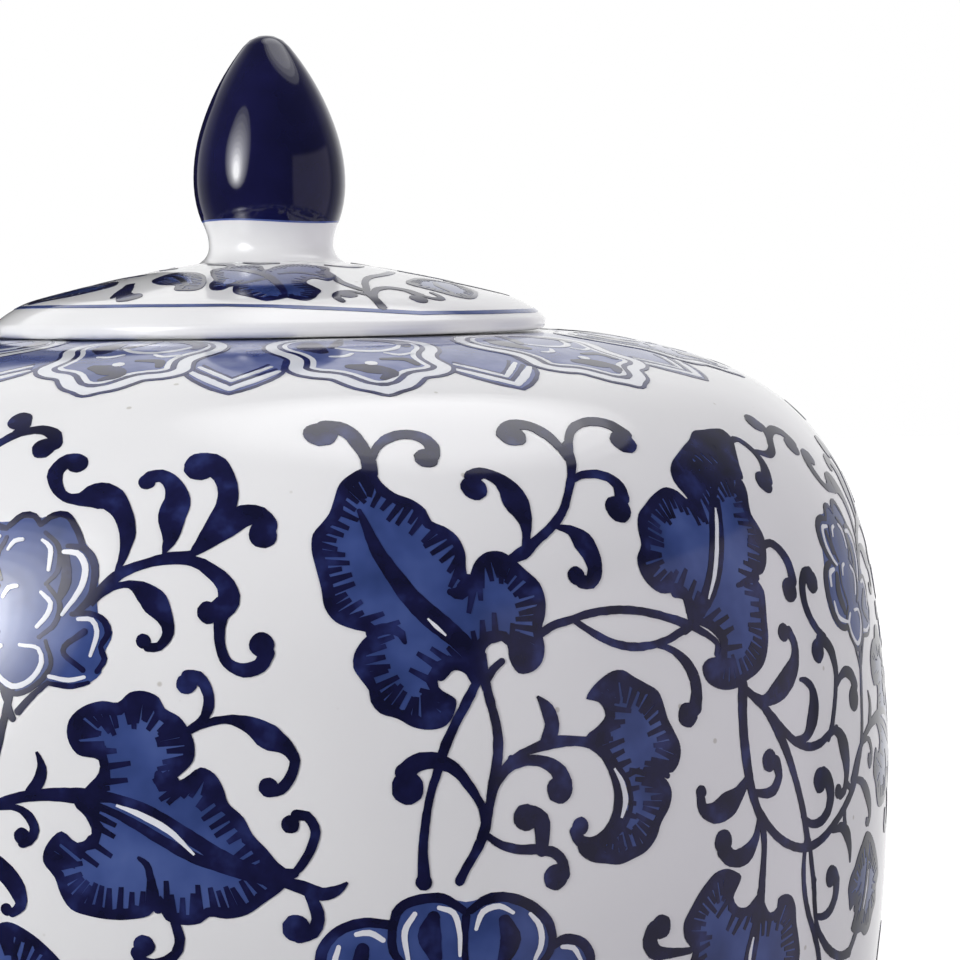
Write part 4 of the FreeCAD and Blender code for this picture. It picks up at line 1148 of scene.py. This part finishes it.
class Layers:
    """One part of the painting, in three colours: a wash, the dark lines over it, and lines left white."""

    def __init__(self, skin, seed):
        self.wash, self.dark, self.white = Paint(skin, seed), Paint(skin, seed + 1), Paint(skin, seed + 2)
        self.random = random.Random(seed + 3)

    def place(self, place):
        for paint in (self.wash, self.dark, self.white):
            paint.place = place

    def strokes(self, strokes):
        for points, bulb in strokes:
            self.dark.stroke(points, bulb)

    def leaf(self, outline, lines=(), slits=(), rim=2.1, hatch=4.5):
        """A washed leaf with a dark rim and a comb of brush strokes running in from it."""
        line, mean = self.dark.closed_line(outline, LINE_STEP)
        self.wash.add([(x / mean, s) for x, s in line])
        facing = inward(line)
        near = range(-COMB_SMOOTHING, COMB_SMOOTHING + 1)
        combed = unit(sum(np.roll(facing, k, axis=0) for k in near))
        width = [rim * self.random.uniform(0.75, 1.15) for _ in line]
        for i in range(len(line)):
            j = (i + 1) % len(line)
            corners = [line[i], line[j], line[j] + facing[j] * width[j], line[i] + facing[i] * width[i]]
            self.dark.add([(x / mean, s) for x, s in corners])
            if i % 2 == 0:
                wedge = self.comb_stroke(line, line[i] + facing[i] * rim * 0.6, combed[i], hatch)
                self.dark.add([(x / mean, s) for x, s in wedge])
        self.strokes(lines)
        for points in slits:
            self.white.stroke(points, rough=RESERVE_ROUGHNESS)

    def comb_stroke(self, line, root, facing, hatch):
        """A tapering stroke from the root inwards, cut short where the leaf is narrow."""
        along = np.array([facing[1], -facing[0]])
        aim = facing + along * self.random.uniform(-COMB_SWAY, COMB_SWAY)
        length = hatch * self.random.uniform(0.7, 1.15)
        while length > COMB_SHORTEST and not inside((root + aim * (length + COMB_CLEARANCE))[None], line)[0]:
            length *= 0.7
        if length <= COMB_SHORTEST:
            return []
        tip = root + aim * length
        broad, narrow = along * self.random.uniform(0.60, 0.78), along * COMB_TIP
        return [root - broad, root + broad, tip + narrow, tip - narrow]

    def flower(self, axis, outline, lines, reserves, shades=()):
        self.wash.fill([(axis + degrees, s) for degrees, s in outline])
        for points in [*lines, *shades]:
            self.dark.stroke([(axis + degrees, s, width) for degrees, s, width in points])
        for points in reserves:
            turned = [(axis + degrees, s, width) for degrees, s, width in points]
            self.white.stroke(turned, rough=RESERVE_ROUGHNESS)

    def build(self, name, body):
        self.wash.build(name + "_wash", body, "cobalt_paint", WASH, WASH_LIFT)
        self.dark.build(name + "_strokes", body, "cobalt_paint", DARK, STROKE_LIFT)
        if self.white.polygons:
            self.white.build(name + "_white", body, "white_glaze", RESERVE, WHITE_LIFT)


# Where the painting is level, how steeply its rows hang across the front in millimetres to a degree, and
# which angles count as the front
UPPER_HANG = (0.125, -19.5)
LOWER_HANG = (0.06, -19.5)
COLLAR_HANG = (0.057, 11.0)
FRONT = (-60.0, 62.0)

# The scroll's five repeats: the front one starts at an angle and is a little wider than the others
REPEATS = 5
UNIT_START = -23.0
PERIOD = 76.6
BACK_SQUEEZE = (360.0 - PERIOD) / (REPEATS - 1) / PERIOD

# The lower row is the same scroll upside down, turned on a little, without what would reach the waist
LOWER_TURN = 34.0
LOWER_FLIP = 343.0
LOWER_REACH = 158.0


def hang(degrees, per_degree, level_at):
    """How much lower the painting sits than true: it slopes across the front and comes back behind."""
    turn = (degrees - FRONT[0]) % 360.0
    across = FRONT[1] - FRONT[0]
    lowest, highest = ((end - level_at) * per_degree for end in FRONT)
    if turn <= across:
        return lowest + (highest - lowest) * turn / across
    return highest + (lowest - highest) * (turn - across) / (360.0 - across)


def unit_angle(unit, degrees):
    """Where a motif's angle falls in one of the repeats."""
    if unit == 0:
        return degrees
    start = UNIT_START + PERIOD + (unit - 1) * PERIOD * BACK_SQUEEZE
    return start + (degrees - UNIT_START) * BACK_SQUEEZE


def upper_place(unit):
    def place(degrees, s):
        angle = unit_angle(unit, degrees)
        return angle, s + hang(angle, *UPPER_HANG)
    return place


def lower_place(unit):
    def place(degrees, s):
        angle = unit_angle(unit, degrees) + LOWER_TURN
        return angle, LOWER_FLIP - s + hang(angle, *LOWER_HANG)
    return place


def scroll(layers, upper):
    """The whole flowering scroll of one repeat, in the upper row or the lower."""
    layers.flower(**FLOWER)
    for leaf in (LEAF_A, LEAF_B, LEAF_D, LEAF_C):
        layers.leaf(**leaf)
    layers.leaf(LEAF_C_FOLD, **FOLD_COMB)
    if upper:
        layers.leaf(**LEAF_E)
        layers.leaf(**LEAF_F)
        layers.flower(**WAIST_FLOWER)
    for points, bulb in BRANCH + UPPER_BRANCH + LOWER_STEMS + HANGING_STEMS:
        if upper or max(point[1] for point in points) < LOWER_REACH:
            layers.dark.stroke(points, bulb)


def scroll_rows():
    for unit in range(REPEATS):
        for row, place, seed in (("upper", upper_place(unit), 10), ("lower", lower_place(unit), 20)):
            layers = Layers(BODY_SKIN, 100 * unit + seed)
            layers.place(place)
            scroll(layers, row == "upper")
            layers.build(f"{row}_scroll_{unit + 1}", "jar")


# How far each colour of a cloud head lies inside its outline, from the outer line to the wash
HEAD_INSETS = (-0.9, 0.0, 2.6, 3.8, 4.9)


def mirrored(outline):
    """A half outline in (degrees, s), followed by the other half on the way back."""
    return outline + [(-degrees, s) for degrees, s in reversed(outline)]


def collar_place(axis):
    def place(degrees, s):
        angle = axis + degrees
        return angle, s + hang(angle, *COLLAR_HANG)
    return place


def collar():
    """The cloud heads and tongues round the shoulder, in layers from the lowest to the topmost."""
    nested = [Paint(BODY_SKIN, 700 + k) for k in range(7)]
    head_dark, head_white = nested[5:]
    tongue_wash, tongue_dark, tongue_white = tongue = [Paint(BODY_SKIN, 720 + k) for k in range(3)]
    mean = tongue_wash.scale_at(30.0)
    ring = mirrored(CLOUD_HEAD)[:-1]
    head = smooth_line([(degrees * mean, s) for degrees, s in ring], True, LINE_STEP)
    for k in range(HEADS):
        turn = 360.0 * k / HEADS
        for paint in tongue:
            paint.place = collar_place(TONGUE_AXIS + turn)
        tongue_wash.add(mirrored(TONGUE))
        for points, colour in TONGUE_STROKES:
            for side in (1.0, -1.0):
                paint = tongue_dark if colour == "dark" else tongue_white
                paint.stroke([(side * degrees, s, width) for degrees, s, width in points])
        for paint in nested:
            paint.place = collar_place(HEAD_AXIS + turn)
        for paint, distance in zip(nested, HEAD_INSETS):
            paint.add([(x / mean, s) for x, s in inset(head, distance)])
        for points in HEAD_STROKES:
            head_dark.stroke(points)
        for points, dot in HEAD_RESERVES:
            head_white.stroke(points, dot, rough=RESERVE_ROUGHNESS)
    for paint, name, slot, material, lift in zip(
        tongue + nested,
        ("tongue_wash", "tongue_strokes", "tongue_white", "head_outline", "head_border", "head_inner_outline",
         "head_inner_border", "head_wash", "head_strokes", "head_white"),
        ("cobalt_paint", "cobalt_paint", "white_glaze", "cobalt_paint", "white_glaze", "cobalt_paint",
         "white_glaze", "cobalt_paint", "cobalt_paint", "white_glaze"),
        (PALE_WASH, OUTLINE, RESERVE, OUTLINE, RESERVE, OUTLINE, RESERVE, PALE_WASH, DARK, RESERVE),
        (0.06, 0.10, 0.13, 0.16, 0.20, 0.24, 0.28, 0.32, 0.36, 0.40),
    ):
        paint.build("collar_" + name, "jar", slot, material, lift)


# The blue line near the lid's rim wanders: how far out it lies at angles counted from its start
LID_SPRAYS = 3
LID_SQUEEZE = 0.94
LID_LINE_START = -55.0
LID_LINE_TURNS = [0, 25, 45, 55, 65, 75, 85, 95, 130, 240, 360]
LID_LINE_REACH = [44, 44, 44.3, 45, 46.2, 47.5, 48.8, 49, 49, 47, 44]
LID_LINE_HALF_WIDTH = 0.65


def lid_line(degrees):
    return float(np.interp((degrees - LID_LINE_START) % 360.0, LID_LINE_TURNS, LID_LINE_REACH))


def lid_line_edge(degrees):
    turn = math.radians(degrees)
    wave = 0.18 * math.sin(7 * turn) + 0.12 * math.sin(17 * turn)
    return lid_line(degrees) + LID_LINE_HALF_WIDTH + 0.4 * wave


def lid_painting():
    layers = Layers(LID_SKIN, 900)
    for k in range(LID_SPRAYS):
        turn = 360.0 * k / LID_SPRAYS
        layers.place(lambda degrees, s: (turn + degrees * LID_SQUEEZE, s))
        for outline in LID_LEAVES:
            layers.leaf(outline, **LID_COMB)
        for points in LID_RIBS:
            layers.dark.stroke(points)
        layers.strokes(LID_CURLS)
    layers.build("lid_spray", "lid")
    band("lid_line", "lid", WASH, LID_SKIN,
         (lambda degrees: lid_line(degrees) - LID_LINE_HALF_WIDTH, lid_line_edge), 0.13)


# The knob is dipped in navy down to a height over the lid's seat
DIP_HEIGHT = 27.7
DIP_END = float(np.interp(-(SEAT + DIP_HEIGHT), -KNOB_SKIN.z, KNOB_SKIN.s))


def dip_edge(degrees):
    wave = 0.5 * math.sin(math.radians(degrees + 40.0)) + 0.25 * math.sin(math.radians(3.0 * degrees))
    return DIP_END + wave


def knob_painting():
    cap("knob_dip", "lid", NAVY, KNOB_SKIN, dip_edge, 0.14)
    band("knob_dip_edge", "lid", NAVY_EDGE, KNOB_SKIN,
         (lambda degrees: dip_edge(degrees) - 0.3, lambda degrees: dip_edge(degrees) + 0.45), 0.10)


# Two lines over the foot, as (s, width), and a border of lappets below them with a mark in each
FOOT_LINES = [(303.0, 1.6), (307.5, 0.9)]
LAPPETS = 24
LAPPET_TOP = 308.5
LAPPET = [(0, 308.5), (1.9, 309.4), (4.2, 312.5), (5.6, 317.5), (6.0, 324), (6.1, 334), (6.1, 336)]
LAPPET_INNER_TOP = 313.0
LAPPET_MARK = [(0, 321, 1.0), (0, 326, 3.6), (0, 333, 1.4)]


def foot_painting():
    for k, (s, width) in enumerate(FOOT_LINES):
        band(f"foot_line_{k + 1}", "jar", DARK, BODY_SKIN,
             (lambda degrees: s - width / 2.0, lambda degrees: s + width / 2.0), 0.14)
    inner = [(degrees * 0.72, LAPPET_INNER_TOP + (s - LAPPET_TOP) * 0.8) for degrees, s in LAPPET[:6]]
    border = Layers(BODY_SKIN, 950)
    for k in range(LAPPETS):
        border.place(lambda degrees, s: (360.0 / LAPPETS * k + degrees, s))
        border.wash.add(mirrored(LAPPET))
        for side in (1.0, -1.0):
            border.dark.stroke([(side * degrees, s, 1.4) for degrees, s in LAPPET])
            border.white.stroke([(side * degrees, s, 0.9) for degrees, s in inner])
        border.dark.stroke(LAPPET_MARK)
    border.build("foot_border", "jar")


scroll_rows()
collar()
lid_painting()
knob_painting()
foot_painting()


# ---------------------------------------------------------------- floor, light and camera

LIGHT_AIM = Vector((0.0, 0.0, 0.2))
FLOOR_REACH = 3.0

# Discs inside one another, each a little nearer, make soft boxes that are brightest in the middle
LEFT_GLOW = [(1.0, 3.0), (0.9, 2.5), (0.8, 3.0), (0.7, 3.0), (0.6, 4.0), (0.5, 6.0), (0.4, 9.0), (0.3, 14.0),
             (0.2, 16.0)]
OVERHEAD_GLOW = [(1.0, 2.4), (0.85, 1.8), (0.7, 1.2)]


def studio_card(name, azimuth, elevation, distance, width, height, power):
    """A soft elliptical light aimed at the jar, with azimuth 0 in front and growing towards +X."""
    light = bpy.data.lights.new(name, "AREA")
    light.shape = "ELLIPSE"
    light.size, light.size_y = width, height
    light.energy = power
    card = bpy.data.objects.new(name, light)
    turn, rise = math.radians(azimuth), math.radians(elevation)
    aim = Vector((math.sin(turn) * math.cos(rise), -math.cos(turn) * math.cos(rise), math.sin(rise)))
    card.location = LIGHT_AIM + aim * distance
    card.rotation_euler = aim.to_track_quat("Z", "Y").to_euler()
    card.visible_camera = False
    bpy.context.scene.collection.objects.link(card)
    return card


def studio_lights():
    for k, (share, glow) in enumerate(LEFT_GLOW):
        studio_card(f"left_soft_box_{k + 1}", -51.0, 12.0 + 12.0 * share, 1.21 - 0.01 * k, 0.84 * share,
                    1.15 * share, 0.88 * glow * share ** 2)
    for k, (share, power) in enumerate(OVERHEAD_GLOW):
        studio_card(f"overhead_soft_box_{k + 1}", 123.7, 71.9, 1.16 - 0.01 * k, 1.08 * share, 1.08 * share,
                    power)
    fill = studio_card("right_fill", 60.0, 2.0, 2.0, 1.6, 1.4, 22.0)
    fill.data.shape = "RECTANGLE"
    fill.data.color = (1.0, 0.98, 1.0)
    fill.visible_glossy = False


def stage_sheet(name, material_name, corners, colour, roughness):
    """A flat sheet that belongs to the studio and not to the object, and throws no light on it."""
    mesh = bpy.data.meshes.new(name)
    mesh.from_pydata(corners, [], [(0, 1, 2, 3)])
    material = bpy.data.materials.new(material_name)
    tree = Nodes(material)
    shader = tree.nodes["Principled BSDF"]
    shader.inputs["Base Color"].default_value = (*colour, 1.0)
    shader.inputs["Roughness"].default_value = roughness
    mesh.materials.append(material)
    sheet = bpy.data.objects.new(name, mesh)
    sheet.visible_diffuse = False
    bpy.context.scene.collection.objects.link(sheet)
    return sheet, tree, shader


def dark_flag():
    """A dark flag behind on the left, seen only as a reflection in the lid."""
    bottom, top = 0.12, 0.82
    (left_x, left_y), (right_x, right_y) = (-0.79, 0.97), (-0.13, 1.26)
    corners = [(left_x, left_y, bottom), (right_x, right_y, bottom),
               (right_x, right_y, top), (left_x, left_y, top)]
    flag, _, _ = stage_sheet("dark_flag", "black_cloth", corners, (0.01, 0.01, 0.01), 1.0)
    flag.visible_camera = False


def pale_floor():
    """A floor that glows more away from the jar, so that only the ground near it takes a shadow."""
    r = FLOOR_REACH
    corners = [(-r, -r, 0), (r, -r, 0), (r, r, 0), (-r, r, 0)]
    floor, tree, shader = stage_sheet("floor", "pale_floor", corners, (0.85, 0.85, 0.86), 0.7)
    shader.inputs["Specular IOR Level"].default_value = 0.2
    shader.inputs["Emission Color"].default_value = (1.0, 1.0, 1.0, 1.0)
    from_jar = tree.add("VectorMath")
    from_jar.operation = "LENGTH"
    tree.links.new(tree.add("TexCoord").outputs["Object"], from_jar.inputs[0])
    glow = tree.add("MapRange", From_Min=0.3, From_Max=1.3, To_Min=0.62, To_Max=1.0)
    tree.links.new(from_jar.outputs["Value"], glow.inputs["Value"])
    tree.links.new(glow.outputs["Result"], shader.inputs["Emission Strength"])
    floor.visible_glossy = False


def studio_world():
    """Dim surroundings with a bright back and one low pale wall on the right, on a white backdrop."""
    world = bpy.data.worlds.new("studio")
    bpy.context.scene.world = world
    tree = Nodes(world)
    tree.nodes.clear()
    parts = tree.add("SeparateXYZ")
    tree.links.new(tree.add("TexCoord").outputs["Generated"], parts.inputs["Vector"])

    def along_axis(axis, stops):
        """Brightness by how far a direction points along an axis, from 0 against it to 1 with it."""
        reach = tree.add("MapRange", From_Min=-1.0)
        tree.links.new(parts.outputs[axis], reach.inputs["Value"])
        return tree.ramp(reach.outputs["Result"], stops)

    black, white = (0.0, 0.0, 0.0), (1.0, 1.0, 1.0)
    behind = along_axis("Y", [(0.0, (0.06, 0.06, 0.07)), (0.6, (0.10, 0.10, 0.11)),
                              (0.80, (0.45, 0.45, 0.45)), (0.92, white)])
    right_wall = along_axis("X", [(0.77, black), (0.80, (0.40, 0.37, 0.44))])
    below_top = along_axis("Z", [(0.645, white), (0.665, black)])
    before_back = along_axis("Y", [(0.60, white), (0.66, black)])
    wall = tree.mix("MULTIPLY", tree.mix("MULTIPLY", right_wall, below_top), before_back)
    surroundings = tree.add("Background")
    tree.links.new(tree.mix("ADD", behind, wall), surroundings.inputs["Color"])
    backdrop = tree.add("Background", Color=(1.0, 1.0, 1.0, 1.0))
    choice = tree.add("MixShader")
    tree.links.new(tree.add("LightPath").outputs["Is Camera Ray"], choice.inputs["Fac"])
    tree.links.new(surroundings.outputs["Background"], choice.inputs[1])
    tree.links.new(backdrop.outputs["Background"], choice.inputs[2])
    tree.links.new(choice.outputs["Shader"], tree.add("OutputWorld").inputs["Surface"])


# The camera's distance from the jar's axis and height over the lid's seat in metres, and its turns in degrees
CAMERA_LENS = 69.61
CAMERA_DISTANCE = 0.4657
CAMERA_OVER_SEAT = 0.0090
CAMERA_YAW = -6.2636
CAMERA_DIP = 5.7182
CAMERA_ROLL = -0.8


def place_camera():
    lens = bpy.data.cameras.new("camera")
    lens.lens = CAMERA_LENS
    lens.sensor_width = 36.0
    camera = bpy.data.objects.new("camera", lens)
    camera.matrix_world = (
        Matrix.Translation((0.0, -CAMERA_DISTANCE, SEAT * MM + CAMERA_OVER_SEAT))
        @ Matrix.Rotation(math.radians(CAMERA_YAW), 4, "Z")
        @ Matrix.Rotation(math.radians(90.0 - CAMERA_DIP), 4, "X")
        @ Matrix.Rotation(math.radians(CAMERA_ROLL), 4, "Z")
    )
    bpy.context.scene.collection.objects.link(camera)
    bpy.context.scene.camera = camera


studio_lights()
dark_flag()
pale_floor()
studio_world()
place_camera()
bpy.context.scene.view_settings.view_transform = "Standard"
